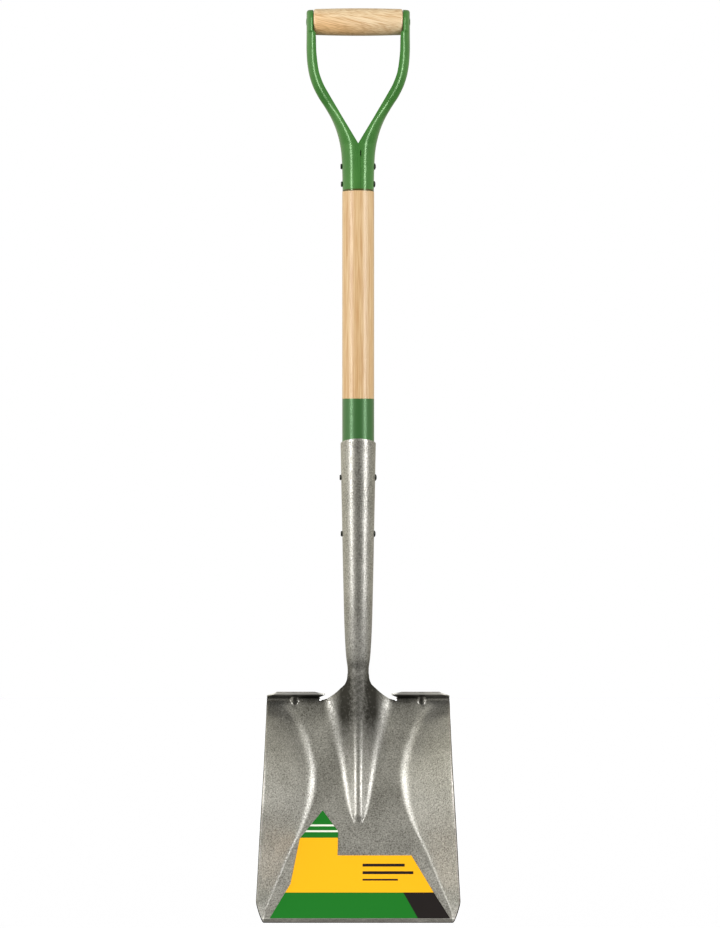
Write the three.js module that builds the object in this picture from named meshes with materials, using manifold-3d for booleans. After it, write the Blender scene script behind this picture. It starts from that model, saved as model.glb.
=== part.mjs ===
// A D-handled square mouth shovel: pressed steel blade, ash shaft, formed steel yoke, turned wooden grip.
// Millimetres, +Z up. The shovel hangs upright with its load side towards -Y. The origin is the middle of the
// grip's underside, where a hook or a peg carries the shovel.

import * as THREE from 'three';
import { mergeVertices } from 'three/addons/utils/BufferGeometryUtils.js';
import Module from 'manifold-3d';

const wasm = await Module();
wasm.setup();

// Fits and tools shared by all pieces
const clearance = 0.3;
const overrun = 2;
const half = 0.5;
const quarterTurn = Math.PI / 2;
const weldReach = 0.0001;

// Lengths along the shovel
const handOpening = 129.7;
const yokeSocketLength = 56;
const shaftShown = 300;
const socketLength = 305.5;
const bladeLength = 269;

// Wooden grip and the rod through it
const gripDiameter = 32.4;
const gripEndDiameter = 30.8;
const gripEndRound = 3;
const gripSpan = 107;
const rodDiameter = 6;
const rodHeadDiameter = 10;
const rodHeadHeight = 0.9;
const rodSeatDepth = 0.8;

// Yoke
const yokeWidth = 123.2;
const yokeSheet = 1.8;
const earDepth = 28.8;
const armSpan = 101;
const earStepLow = 1.2;
const earStepHigh = 5.2;
const armDepth = 24;
const earCornerRound = 3.6;
const yokeRimDiameter = 37.2;
const seamGap = 0.9;
const seamOffset = 3;
const seamBelowCrotch = 9;
const seamSlotWidth = 2;
const seamSlotHeight = 7;
const thinnestRing = 0.5;
const earTopFlat = 0.4;
const smallestReach = 0.1;

// Shaft
const shaftDiameter = 38;
const shaftInSocket = 222;
const tenonLength = 50;
const tenonDiameter = 32.4;
const tenonChamfer = 2;
const shaftTipDiameter = 26;

// Rivets
const rivetDiameter = 5;
const rivetHeadDiameter = 8;
const rivetHeadHeight = 2;
const rivetTailDiameter = 6.6;
const rivetTailHeight = 1.5;
const rivetHollowDiameter = 2.8;
const rivetHollowDepth = 5;
const yokeRivetDrops = [26, 47];
const socketRivetDrops = [40, 107];

// Blade sheet, its socket and its treads
const sheet = 1.5;
const bladeLift = THREE.MathUtils.degToRad(24);
const bladeWidth = 234.2;
const panSetBack = 3.5;
const wallHeight = 47;
const creaseSoftness = 9;
const socketRimDiameter = 42;
const rimSlant = THREE.MathUtils.degToRad(16);
const socketSeamGap = 1.2;
const neckDepth = 27.2;
const neckHalfWidth = 16.1;
const neckAbove = 14.4;
const neckRadius = 13.2;
const neckWaist = 13.2;
const neckFlare = 9;
const neckWrap = THREE.MathUtils.degToRad(105);
const neckFoot = 17;
const neckFootRun = 42;
const ridgeLength = 148;
const ridgeEndHeight = 3.4;
const ridgeEndRun = 8;
const crownRadius = 8.4;
const footHalfWidth = 45;
const footEndHalfWidth = 7;
const treadDepth = 17.5;
const treadBend = 2.5;
const treadLipRadius = 5;
const treadLipTurn = THREE.MathUtils.degToRad(42);
const treadInset = 47;
const treadTipHalf = 39;
const treadTipDepth = 13;
const treadFreeInner = 51.4;
const treadFreeOuter = 96.6;
const treadOuterDepth = 6.5;
const notchDiameter = 3.6;
const notchLift = 0.7;
const gussetHalfWidth = 7;
const gussetReach = 8;
const gussetRise = 4.5;

// Label
const labelThickness = 0.4;
const labelMouthMargin = 4.5;

// Shapes along the pieces, as shares of the sizes above: first the place, then the value.
const gripRingShares = [0.7, 0.3];
const socketShares = [[0, 1], [0.063, 0.98], [0.156, 0.958], [0.31, 0.912], [0.437, 0.879], [0.562, 0.838],
  [0.686, 0.793], [0.749, 0.757], [0.811, 0.705], [0.873, 0.634], [1, 0.63]];
const edgeShares = [[0, 0.927], [0.055, 0.923], [0.11, 0.9195], [0.2, 0.92], [0.35, 0.926], [0.5, 0.942],
  [0.6, 0.9555], [0.7, 0.9705], [0.8, 0.983], [0.9, 0.997], [0.918, 1], [0.955, 0.98], [1, 0.934]];
const creaseShares = [[0, 0.74], [0.05, 0.68], [0.11, 0.592], [0.19, 0.527], [0.264, 0.485], [0.35, 0.461],
  [0.43, 0.471], [0.5, 0.503], [0.58, 0.566], [0.7, 0.688], [0.82, 0.796], [0.91, 0.88], [0.97, 0.919], [1, 0.924]];
const softShares = [[0, 0.9], [0.2, 1], [0.35, 1], [0.5, 0.65], [0.64, 0.33], [0.82, 0.2], [1, 0.1]];
const wallShares = [[0, 0], [0.012, 0.08], [0.055, 0.26], [0.11, 0.505], [0.2, 0.765], [0.3, 0.95], [0.38, 1],
  [0.5, 0.95], [0.6, 0.795], [0.7, 0.59], [0.8, 0.403], [0.9, 0.2], [0.955, 0.07], [1, 0]];
const shoulderShares = [[0, 1], [0.021, 0.894], [0.06, 0.81], [0.174, 0.679], [0.382, 0.479], [0.59, 0.305],
  [0.8, 0.153], [1, 0]];
const footShares = [[0, 1], [0.068, 0.935], [0.135, 0.865], [0.304, 0.67], [0.507, 0.47], [0.676, 0.335],
  [0.81, 0.235], [0.92, 0.12], [1, 0]];
const crownShares = [[0, 1], [0.12, 0.7], [0.2, 0.45], [0.3, 0.28], [0.45, 0.1], [0.6, 0], [1, 0]];
const footFilletShare = 0.45;
const gussetShare = 1.35;
const armOuterShares = [[0, 0.998], [0.111, 1], [0.222, 0.99], [0.333, 0.959], [0.444, 0.894], [0.556, 0.782],
  [0.664, 0.636], [0.774, 0.506], [0.884, 0.414], [1, 0.352], [1.1, 0.323], [1.27, 0.308], [1.45, 0.302]];
const armInnerShares = [[0, 1], [0.111, 0.993], [0.222, 0.968], [0.333, 0.926], [0.444, 0.829], [0.556, 0.673],
  [0.664, 0.511], [0.774, 0.351], [0.884, 0.185], [1.005, 0]];
const armDepthShares = [[0, 1], [0.25, 0], [0.7, 0]];
const wrapStartShare = 0.62;
const wrapEndShare = 1.08;
const labelShares = [[-0.869, 0], [-0.721, 0.24], [-0.67, 0.32], [-0.582, 0.75], [-0.355, 1.02], [-0.2, 0.82],
  [-0.205, 0.59], [0.528, 0.59], [0.745, 0.24], [0.904, 0]];
const labelHeight = 126;

// Levels, measured upwards from the grip's underside
const gripLevel = gripDiameter * half;
const crotchLevel = -handOpening;
const yokeRimLevel = crotchLevel - yokeSocketLength;
const socketRimLevel = yokeRimLevel - shaftShown;
const foldLevel = socketRimLevel - socketLength;

// A smooth curve through a table of shares, flat outside it
function along(shares, place) {
  const last = shares.length - 1;
  if (place <= shares[0][0]) return shares[0][1];
  if (place >= shares[last][0]) return shares[last][1];
  let k = 0;
  while (place > shares[k + 1][0]) k += 1;
  const slope = (a, b) => (shares[b][1] - shares[a][1]) / (shares[b][0] - shares[a][0]);
  const tangent = (i) => {
    if (i === 0) return slope(0, 1);
    if (i === last) return slope(last - 1, last);
    const before = slope(i - 1, i);
    const after = slope(i, i + 1);
    return before * after <= 0 ? 0 : (2 * before * after) / (before + after);
  };
  const span = shares[k + 1][0] - shares[k][0];
  const t = (place - shares[k][0]) / span;
  const start = THREE.MathUtils.lerp(shares[k][1], shares[k + 1][1], t * t * (3 - 2 * t));
  const bend = t * (1 - t) * span * ((1 - t) * tangent(k) - t * tangent(k + 1));
  return start + bend;
}

// Turns a closed three.js geometry into a solid, with its faces pointing outwards
function solid(geometry) {
  const bare = geometry.index ? geometry.toNonIndexed() : geometry.clone();
  for (const name of Object.keys(bare.attributes)) {
    if (name !== 'position') bare.deleteAttribute(name);
  }
  const merged = mergeVertices(bare, weldReach);
  const place = merged.attributes.position;
  const corner = [new THREE.Vector3(), new THREE.Vector3(), new THREE.Vector3()];
  const triangles = [];
  let volume = 0;
  for (let i = 0; i < merged.index.count; i += 3) {
    const ids = [0, 1, 2].map((k) => merged.index.getX(i + k));
    if (ids[0] === ids[1] || ids[1] === ids[2] || ids[2] === ids[0]) continue;
    ids.forEach((id, k) => corner[k].fromBufferAttribute(place, id));
    volume += corner[0].dot(corner[1].clone().cross(corner[2]));
    triangles.push(ids);
  }
  if (volume < 0) triangles.forEach((ids) => ids.reverse());
  const mesh = new wasm.Mesh({
    numProp: 3,
    vertProperties: new Float32Array(place.array),
    triVerts: new Uint32Array(triangles.flat()),
  });
  mesh.merge();
  return new wasm.Manifold(mesh);
}

// Gives a solid back as a named three.js mesh
function piece(name, body, look) {
  const mesh = body.getMesh();
  const geometry = new THREE.BufferGeometry();
  geometry.setAttribute('position', new THREE.BufferAttribute(mesh.vertProperties, mesh.numProp));
  geometry.setIndex(new THREE.BufferAttribute(mesh.triVerts, 1));
  geometry.computeVertexNormals();
  const result = new THREE.Mesh(geometry, new THREE.MeshStandardMaterial(look));
  result.name = name;
  return result;
}

const looks = {
  steel: { color: 0x8f8c84, roughness: 0.42, metalness: 0.9 },
  paint: { color: 0x3f7d35, roughness: 0.25, metalness: 0.1 },
  wood: { color: 0xdcb885, roughness: 0.38, metalness: 0 },
  rivet: { color: 0x2b2d2b, roughness: 0.45, metalness: 0.8 },
  label: { color: 0xf8c422, roughness: 0.35, metalness: 0 },
};

// A turned piece whose axis lies across the shovel, from points of radius and place along X
function turnedAcross(points, segments) {
  const geometry = new THREE.LatheGeometry(points.map((p) => new THREE.Vector2(p[0], p[1])), segments);
  geometry.rotateZ(-quarterTurn);
  return geometry;
}

// A round drill across the shovel, at a level
function crossDrill(diameter, length, level) {
  const geometry = new THREE.CylinderGeometry(diameter * half, diameter * half, length, 16);
  geometry.rotateZ(quarterTurn);
  geometry.translate(0, 0, level);
  return solid(geometry);
}

// A flat seat for a round head, cut into a wall from outside
function headSeat(diameter, from, side, level) {
  const radius = diameter * half + clearance;
  const depth = overrun + overrun;
  const geometry = new THREE.CylinderGeometry(radius, radius, depth, 16);
  geometry.rotateZ(quarterTurn);
  geometry.translate(side * (from + depth * half), 0, level);
  return solid(geometry);
}

// How far from the middle a flat seat as wide as a head lies on a round wall
function seatOn(radius, headDiameter) {
  return Math.sqrt(radius * radius - headDiameter * half * headDiameter * half);
}

// Blade: places on the sheet

const halfBlade = bladeWidth * half;
const socketRadius = (level) => socketRimDiameter * half * along(socketShares, (socketRimLevel - level) / socketLength);

// A point of the blade, from its place across, its distance down from the tread fold and its height off the pan
function onBlade(across, down, height) {
  const back = panSetBack - Math.sin(bladeLift) * down - Math.cos(bladeLift) * height;
  const up = foldLevel - Math.cos(bladeLift) * down + Math.sin(bladeLift) * height;
  return new THREE.Vector3(across, back, up);
}

const edgeHalf = (down) => halfBlade * along(edgeShares, down / bladeLength);
const creaseHalf = (down) => halfBlade * along(creaseShares, down / bladeLength);
function creaseSoft(down) {
  const soft = creaseSoftness * along(softShares, down / bladeLength);
  return Math.min(soft, (edgeHalf(down) - creaseHalf(down)) * 0.8);
}

// Height of the side wall over the pan: a soft crease, then a straight slope up to the edge
function wallAt(across, down) {
  const soft = creaseSoft(down);
  const past = across - creaseHalf(down);
  const slope = (wallHeight * along(wallShares, down / bladeLength)) / (edgeHalf(down) - creaseHalf(down));
  if (past <= -soft) return 0;
  if (past >= soft) return past * slope;
  return ((past + soft) * (past + soft) * slope) / (4 * soft);
}

// Half width of the ridge at its foot. Above the fold it is the foot that the section would reach if it were whole.
function footHalf(down) {
  if (down < 0) {
    return THREE.MathUtils.lerp(footHalfWidth, neckFoot, THREE.MathUtils.smoothstep(-down, 0, neckFootRun));
  }
  const narrowing = along(footShares, down / ridgeLength);
  const foot = THREE.MathUtils.lerp(footEndHalfWidth, footHalfWidth, narrowing);
  const below = Math.max(0, (down - ridgeLength - ridgeEndRun) / (bladeLength - ridgeLength));
  return THREE.MathUtils.lerp(foot, footHalfWidth, below);
}

// Half width at which the sheet is cut: the whole foot below the fold, the shoulder's edge above it, then the neck
function cutHalf(down) {
  if (down >= 0) return footHalf(down);
  if (down < -neckAbove) {
    const flare = Math.max(0, 1 + (down + neckAbove) / neckFlare);
    return THREE.MathUtils.lerp(neckWaist, neckHalfWidth, flare * flare);
  }
  return THREE.MathUtils.lerp(neckHalfWidth, footHalfWidth, along(shoulderShares, -down / neckAbove));
}

// The ridge's half section: round crown, straight flank and foot fillet, each tangent to the next
function ridgeShape(down) {
  const foot = footHalf(down);
  const rise = THREE.MathUtils.mapLinear(down, -neckAbove, ridgeLength, neckDepth, ridgeEndHeight);
  const height = Math.max(rise, ridgeEndHeight);
  const fromNeck = Math.max(0, (down + neckAbove) / (ridgeLength + neckAbove));
  const rounding = THREE.MathUtils.lerp(crownRadius, neckRadius, along(crownShares, fromNeck));
  const crown = Math.min(rounding, foot * 0.9);
  const runAt = (turn) => foot - crown * Math.sin(turn);
  const dropAt = (turn) => crown * (1 - Math.cos(turn)) + footFilletShare * runAt(turn) * Math.tan(turn * half)
    + (1 - footFilletShare) * runAt(turn) * Math.tan(turn);
  let turn = 0;
  let step = quarterTurn * half;
  for (let i = 0; i < 40; i += 1) {
    if (dropAt(turn + step) < height) turn += step;
    step *= half;
  }
  const fillet = (footFilletShare * runAt(turn)) / Math.sin(turn);
  const crownEnd = crown * Math.sin(turn);
  const filletStart = foot - fillet * Math.sin(turn);
  const endRun = ridgeEndRun * half;
  const fade = 1 - THREE.MathUtils.smoothstep(down, ridgeLength - endRun, ridgeLength + endRun);
  const heightAt = (across) => {
    if (across <= crownEnd) return fade * (height - crown + Math.sqrt(crown * crown - across * across));
    if (across < filletStart) {
      return fade * (height - crown * (1 - Math.cos(turn)) - (across - crownEnd) * Math.tan(turn));
    }
    const past = Math.max(0, foot - across);
    return fade * (fillet - Math.sqrt(fillet * fillet - past * past));
  };
  return { foot, crown, crownEnd, fillet, filletStart, turn, heightAt };
}

// Columns of the sheet on one side: the ridge, then the pan, the crease and the wall
const crownColumns = 5;
const flankColumns = 3;
const filletColumns = 4;
const ridgeColumns = crownColumns + flankColumns + filletColumns;
const outerColumns = 8;

// Place across the half section, counted in columns through the crown, the flank and the fillet
function placeAcross(shape, column) {
  const onFlank = column - crownColumns;
  const onFillet = onFlank - flankColumns;
  if (onFlank <= 0) return shape.crown * Math.sin((shape.turn * column) / crownColumns);
  if (onFillet <= 0) return THREE.MathUtils.lerp(shape.crownEnd, shape.filletStart, onFlank / flankColumns);
  return shape.foot - shape.fillet * Math.sin(shape.turn * (1 - onFillet / filletColumns));
}

// How much of the half section there is, in columns, before the sheet's edge cuts it
function columnsKept(shape, cut) {
  if (cut >= shape.foot) return ridgeColumns;
  let kept = 0;
  let step = ridgeColumns * half;
  for (let i = 0; i < 30; i += 1) {
    if (placeAcross(shape, kept + step) < cut) kept += step;
    step *= half;
  }
  return kept;
}

function outerPlaces(down) {
  const foot = footHalf(down);
  const crease = creaseHalf(down);
  const soft = creaseSoft(down);
  const edge = edgeHalf(down);
  return [
    foot,
    (foot + crease - soft * (gussetShare + 0.75)) * half,
    crease - soft * (gussetShare + 0.75),
    crease - soft * gussetShare,
    crease - soft * (gussetShare - 0.75),
    crease,
    crease + soft * 0.75,
    (crease + soft * 0.75 + edge) * half,
    edge,
  ];
}

// The gusset pressed into the tread's fold: a lift across the inner corner, fading both ways
const gussetHalf = creaseHalf(0) - creaseSoft(0) * gussetShare;
function gussetLift(across, fromFold) {
  const sideways = Math.max(0, 1 - Math.abs(across - gussetHalf) / gussetHalfWidth);
  const lengthways = Math.max(0, 1 - Math.abs(fromFold) / gussetReach);
  return (gussetRise * sideways * lengthways) / Math.SQRT2;
}

// A sheet point of the pan or the wall, on the side given by its sign
function panPoint(side, across, down) {
  const lift = gussetLift(across, down + treadBend * half);
  return onBlade(side * across, down + lift, wallAt(across, down) + lift);
}

// Rows of the tread: round the bend, out along the flat and up the lip
function treadRows() {
  const rows = [];
  const bendSteps = 3;
  for (let k = 1; k <= bendSteps; k += 1) {
    const angle = (quarterTurn * k) / bendSteps;
    rows.push([-treadBend * Math.sin(angle), treadBend * (1 - Math.cos(angle))]);
  }
  const flatEnd = treadDepth - treadLipRadius * Math.sin(treadLipTurn);
  for (const share of [0.25, 0.85, 1]) {
    rows.push([-treadBend, THREE.MathUtils.lerp(treadBend, flatEnd, share)]);
  }
  const lipSteps = 2;
  for (let k = 1; k <= lipSteps; k += 1) {
    const angle = (treadLipTurn * k) / lipSteps;
    rows.push([-treadBend - treadLipRadius * (1 - Math.cos(angle)), flatEnd + treadLipRadius * Math.sin(angle)]);
  }
  return rows;
}

function treadInner(depth) {
  if (depth <= treadBend) return THREE.MathUtils.lerp(footHalfWidth, treadInset, depth / treadBend);
  if (depth <= treadTipDepth) {
    return THREE.MathUtils.mapLinear(depth, treadBend, treadTipDepth, treadInset, treadTipHalf);
  }
  return THREE.MathUtils.mapLinear(depth, treadTipDepth, treadDepth, treadTipHalf, treadFreeInner);
}

function treadOuter(depth) {
  if (depth <= treadOuterDepth) return edgeHalf(0);
  return THREE.MathUtils.mapLinear(depth, treadOuterDepth, treadDepth, edgeHalf(0), treadFreeOuter);
}

// A sheet point of the tread, from its row and its place between the tread's ends
function treadPoint(side, row, column) {
  const [down, depth] = row;
  const atFold = outerPlaces(0);
  const share = (atFold[column] - atFold[0]) / (atFold[outerColumns] - atFold[0]);
  const across = THREE.MathUtils.lerp(treadInner(depth), treadOuter(depth), share);
  const lift = gussetLift(across, depth + treadBend * half);
  return onBlade(side * across, down + lift, depth + lift);
}

// Blade: the sheet as rows of points

const socketRowShares = [0, 0.06, 0.15, 0.26, 0.38, 0.5, 0.62, 0.72, 0.78, 0.82, 0.85, 0.87, 0.89, 0.907, 0.924, 0.941];
const wrapOpens = 0.8;
const rollOpens = 0.84;
const neckRowShares = [1, 0.84, 0.66, 0.48, 0.31, 0.17, 0.06];
const panRowShares = [0, 0.01, 0.022, 0.04, 0.065, 0.1, 0.15, 0.2, 0.26, 0.32, 0.38, 0.44, 0.49, 0.525, 0.54, 0.552,
  0.566, 0.6, 0.67, 0.74, 0.81, 0.87, 0.911, 0.938, 0.96, 0.982, 1];

// A point of the rolled socket, round from the front towards the seam, which opens at the back above the neck
function socketPoint(side, column, level, slant, opened) {
  const radius = socketRadius(level);
  const closed = Math.PI - (socketSeamGap * half) / radius;
  const angle = (THREE.MathUtils.lerp(closed, neckWrap, opened) * column) / ridgeColumns;
  const back = -radius * Math.cos(angle);
  return new THREE.Vector3(side * radius * Math.sin(angle), back, level - slant * Math.tan(rimSlant) * back);
}

function ridgePoint(side, column, down) {
  const shape = ridgeShape(down);
  const kept = columnsKept(shape, cutHalf(down));
  const across = placeAcross(shape, (column * kept) / ridgeColumns);
  return onBlade(side * across, down, shape.heightAt(across));
}

function innerRows() {
  const rows = [];
  const neckLevel = foldLevel + Math.cos(bladeLift) * neckAbove;
  const rollEnd = (socketRimLevel - neckLevel) / socketLength;
  socketRowShares.forEach((share, k) => {
    const level = socketRimLevel - share * socketLength;
    const opened = THREE.MathUtils.smoothstep(share, wrapOpens, rollEnd);
    const unrolled = THREE.MathUtils.smoothstep(share, rollOpens, rollEnd);
    const down = (foldLevel - level) / Math.cos(bladeLift);
    const slant = Math.max(0, 1 - k * half);
    rows.push((side, column) => {
      const rolled = socketPoint(side, column, level, slant, opened);
      return unrolled === 0 ? rolled : rolled.lerp(ridgePoint(side, column, down), unrolled);
    });
  });
  neckRowShares.forEach((share) => {
    rows.push((side, column) => ridgePoint(side, column, -share * neckAbove));
  });
  panRowShares.forEach((share) => {
    rows.push((side, column) => ridgePoint(side, column, share * bladeLength));
  });
  return rows;
}

// Joins rows of points into one open sheet, then gives it its thickness behind the front face
function sheetSolid(points, quads, thickness) {
  const triangles = [];
  quads.forEach(([a, b, c, d, flip]) => {
    if (flip) triangles.push([a, b, d], [b, c, d]);
    else triangles.push([a, b, c], [a, c, d]);
  });
  const normals = points.map(() => new THREE.Vector3());
  const edges = new Map();
  triangles.forEach(([a, b, c]) => {
    const ab = points[b].clone().sub(points[a]);
    const ac = points[c].clone().sub(points[a]);
    const face = ab.cross(ac).normalize();
    [[a, b, c], [b, c, a], [c, a, b]].forEach(([at, next, before]) => {
      const first = points[next].clone().sub(points[at]);
      const second = points[before].clone().sub(points[at]);
      normals[at].addScaledVector(face, first.angleTo(second));
      edges.set(`${at} ${next}`, [at, next]);
    });
  });
  const count = points.length;
  const backs = points.map((point, k) => point.clone().addScaledVector(normals[k].normalize(), -thickness));
  const faces = [];
  triangles.forEach(([a, b, c]) => {
    faces.push([a, b, c], [count + a, count + c, count + b]);
  });
  edges.forEach(([a, b]) => {
    if (!edges.has(`${b} ${a}`)) faces.push([b, a, count + a], [b, count + a, count + b]);
  });
  const geometry = new THREE.BufferGeometry();
  const places = points.concat(backs).flatMap((point) => point.toArray());
  geometry.setAttribute('position', new THREE.Float32BufferAttribute(places, 3));
  geometry.setIndex(faces.flat());
  return solid(geometry);
}

function bladeSheet() {
  const points = [];
  const quads = [];
  const add = (point) => points.push(point) - 1;
  const weave = (rows, flip) => {
    for (let r = 0; r + 1 < rows.length; r += 1) {
      for (let c = 0; c + 1 < rows[r].length; c += 1) {
        quads.push([rows[r][c], rows[r + 1][c], rows[r + 1][c + 1], rows[r][c + 1], flip(c)]);
      }
    }
  };
  const inner = innerRows().map((row) => {
    const ids = [];
    for (let c = -ridgeColumns; c <= ridgeColumns; c += 1) ids.push(add(row(Math.sign(c) || 1, Math.abs(c))));
    return ids;
  });
  weave(inner, (c) => c < ridgeColumns);
  const firstPan = inner.length - panRowShares.length;
  const treads = treadRows().reverse();
  [-1, 1].forEach((side) => {
    const outer = [];
    treads.forEach((row) => {
      const ids = [];
      for (let c = 0; c <= outerColumns; c += 1) ids.push(add(treadPoint(side, row, c)));
      outer.push(ids);
    });
    panRowShares.forEach((share, k) => {
      const down = share * bladeLength;
      const shared = inner[firstPan + k];
      const ids = [side < 0 ? shared[0] : shared[shared.length - 1]];
      outerPlaces(down).slice(1).forEach((across) => ids.push(add(panPoint(side, across, down))));
      outer.push(ids);
    });
    if (side < 0) outer.forEach((ids) => ids.reverse());
    weave(outer, () => side < 0);
  });
  return sheetSolid(points, quads, sheet);
}

// The small round relief at the end of each tread's fold
function reliefNotch(side) {
  const radius = notchDiameter * half;
  const depth = treadBend + sheet + overrun;
  const geometry = new THREE.CylinderGeometry(radius, radius, depth + overrun, 20);
  const middle = onBlade(side * footHalfWidth, -notchLift, treadBend * half);
  geometry.rotateX(-bladeLift);
  geometry.translate(middle.x, middle.y, middle.z);
  return solid(geometry);
}

function blade() {
  let body = bladeSheet();
  [-1, 1].forEach((side) => {
    body = body.subtract(reliefNotch(side));
  });
  socketRivetDrops.forEach((drop) => {
    const level = socketRimLevel - drop;
    const radius = socketRadius(level);
    body = body.subtract(crossDrill(rivetDiameter + clearance * 2, (radius + overrun) * 2, level));
    body = body.subtract(headSeat(rivetHeadDiameter, seatOn(radius, rivetHeadDiameter), 1, level));
    body = body.subtract(headSeat(rivetTailDiameter, seatOn(radius, rivetTailDiameter), -1, level));
  });
  return piece('blade', body, looks.steel);
}

// Shaft: straight ash, a tapered end that follows the socket, a tenon for the yoke

function shaft() {
  const radius = shaftDiameter * half;
  const inSocket = (level) => Math.min(radius, socketRadius(level) - sheet - clearance * 2);
  const tipLevel = socketRimLevel - shaftInSocket;
  const tenonTop = yokeRimLevel + tenonLength;
  const tip = Math.min(shaftTipDiameter * half, inSocket(tipLevel));
  const profile = [[0, tipLevel], [tip * 0.8, tipLevel], [tip, tipLevel + tip * 0.3]];
  for (const share of [0.85, 0.7, 0.5, 0.3, 0.12]) {
    const level = socketRimLevel - shaftInSocket * share;
    profile.push([inSocket(level), level]);
  }
  const tenonRadius = tenonDiameter * half;
  const shoulder = yokeRimLevel - clearance;
  profile.push([radius, socketRimLevel]);
  profile.push([radius, shoulder]);
  profile.push([tenonRadius, shoulder]);
  profile.push([tenonRadius, tenonTop - tenonChamfer]);
  profile.push([tenonRadius - tenonChamfer, tenonTop]);
  profile.push([0, tenonTop]);
  const geometry = new THREE.LatheGeometry(profile.map((p) => new THREE.Vector2(p[0], p[1])), 32);
  geometry.rotateX(quarterTurn);
  let body = solid(geometry);
  const levels = yokeRivetDrops.map((drop) => crotchLevel - drop);
  socketRivetDrops.forEach((drop) => levels.push(socketRimLevel - drop));
  levels.forEach((level) => {
    body = body.subtract(crossDrill(rivetDiameter + clearance * 2, shaftDiameter + overrun, level));
  });
  return piece('shaft', body, looks.wood);
}

// Yoke: two arms that open towards each other, wrapped into one socket below the crotch

const yokeHalf = yokeWidth * half;
const earRadius = earDepth * half;
const earTop = gripLevel + earRadius;
const socketDepth = (place) => yokeHalf * along(armOuterShares, place);

// The half section's inner and outer places and its half depth at a level
function armSection(level) {
  const place = -level / handOpening;
  let outer = yokeHalf * along(armOuterShares, Math.max(place, 0));
  const armInner = armSpan * half * along(armInnerShares, place);
  const stepped = THREE.MathUtils.smoothstep(level, earStepLow, earStepHigh);
  const inner = THREE.MathUtils.lerp(armInner, gripSpan * half, stepped);
  let depth = THREE.MathUtils.lerp(armDepth * half, earRadius, along(armDepthShares, Math.max(place, 0)));
  const wrapped = THREE.MathUtils.smoothstep(place, wrapStartShare, wrapEndShare);
  depth = THREE.MathUtils.lerp(depth, socketDepth(place), wrapped);
  if (level > gripLevel) {
    const above = Math.min(level - gripLevel, earRadius);
    depth = Math.sqrt(earRadius * earRadius - above * above);
    const past = Math.max(0, level - (earTop - earCornerRound));
    outer -= earCornerRound - Math.sqrt(Math.max(0, earCornerRound * earCornerRound - past * past));
  }
  return { outer, inner, depth };
}

// A closed loft of one half, shrunk inwards by a wall and opened on its inner side by a reach
function armLoft(side, wall, reach, levels) {
  const segments = 10;
  const rings = levels.map((level) => {
    const shown = Math.min(level, earTop - earTopFlat);
    const { outer, inner, depth } = armSection(shown);
    const from = Math.max(inner, 0) - reach;
    const slimDepth = Math.max(depth - wall, thinnestRing);
    const ring = [];
    for (let k = 0; k <= segments; k += 1) {
      const angle = (Math.PI * k) / segments;
      const across = inner + (outer - wall - inner) * Math.sin(angle);
      const kept = k === 0 || k === segments ? from : Math.max(across, from + smallestReach);
      ring.push(new THREE.Vector3(side * kept, -slimDepth * Math.cos(angle), level));
    }
    return ring;
  });
  const faces = [];
  const width = segments + 1;
  for (let r = 0; r + 1 < rings.length; r += 1) {
    for (let c = 0; c < width; c += 1) {
      const next = (c + 1) % width;
      const low = r * width;
      const high = low + width;
      faces.push([low + c, low + next, high + next], [low + c, high + next, high + c]);
    }
  }
  const top = (rings.length - 1) * width;
  for (let c = 1; c + 1 < width; c += 1) {
    faces.push([0, c + 1, c], [top, top + c, top + c + 1]);
  }
  const geometry = new THREE.BufferGeometry();
  geometry.setAttribute('position', new THREE.Float32BufferAttribute(rings.flat().flatMap((p) => p.toArray()), 3));
  geometry.setIndex(faces.flat());
  return solid(geometry);
}

function yoke() {
  const armPlaces = [1.2, 1.1, 1.06, 1.005, 0.96, 0.93, 0.885, 0.83, 0.776, 0.72, 0.667, 0.61, 0.56, 0.5, 0.45, 0.4, 0.34,
    0.28, 0.2, 0.1];
  const levels = [yokeRimLevel].concat(armPlaces.map((place) => -place * handOpening));
  const earLevels = [earStepLow, (earStepLow + earStepHigh) * half, earStepHigh, gripLevel];
  const domeLevels = [0.35, 0.65, 0.82, 0.93].map((share) => gripLevel + earRadius * share);
  const all = levels.concat(earLevels, domeLevels);
  const outerLevels = all.concat([earTop]);
  const innerLevels = [yokeRimLevel - overrun].concat(all.slice(1));
  let body = armLoft(1, 0, clearance, outerLevels).add(armLoft(-1, 0, clearance, outerLevels));
  const cap = earTop - yokeSheet;
  const hollow = innerLevels.filter((level) => level < cap).concat([cap]);
  body = body.subtract(armLoft(1, yokeSheet, overrun, hollow)).subtract(armLoft(-1, yokeSheet, overrun, hollow));
  const seamHeight = yokeSocketLength - seamBelowCrotch;
  const seam = new THREE.BoxGeometry(seamGap, yokeRimDiameter * half, seamHeight + overrun);
  seam.translate(seamOffset, -yokeRimDiameter * half, yokeRimLevel + (seamHeight - overrun) * half);
  body = body.subtract(solid(seam));
  const slot = new THREE.BoxGeometry(seamSlotWidth, yokeRimDiameter * half, seamSlotHeight);
  slot.translate(seamOffset, -yokeRimDiameter * half, crotchLevel - seamBelowCrotch - seamSlotHeight * half);
  body = body.subtract(solid(slot));
  yokeRivetDrops.forEach((drop) => {
    const level = crotchLevel - drop;
    const radius = armSection(level).outer;
    body = body.subtract(crossDrill(rivetDiameter + clearance * 2, (radius + overrun) * 2, level));
    body = body.subtract(headSeat(rivetHeadDiameter, seatOn(radius, rivetHeadDiameter), 1, level));
    body = body.subtract(headSeat(rivetTailDiameter, seatOn(radius, rivetTailDiameter), -1, level));
  });
  body = body.subtract(crossDrill(rodDiameter + clearance * 2, yokeWidth + overrun, gripLevel));
  [-1, 1].forEach((side) => {
    body = body.subtract(headSeat(rodHeadDiameter, yokeHalf - rodSeatDepth, side, gripLevel));
  });
  return piece('yoke', body, looks.paint);
}

// Grip: a turned barrel with a bore for its rod

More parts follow.
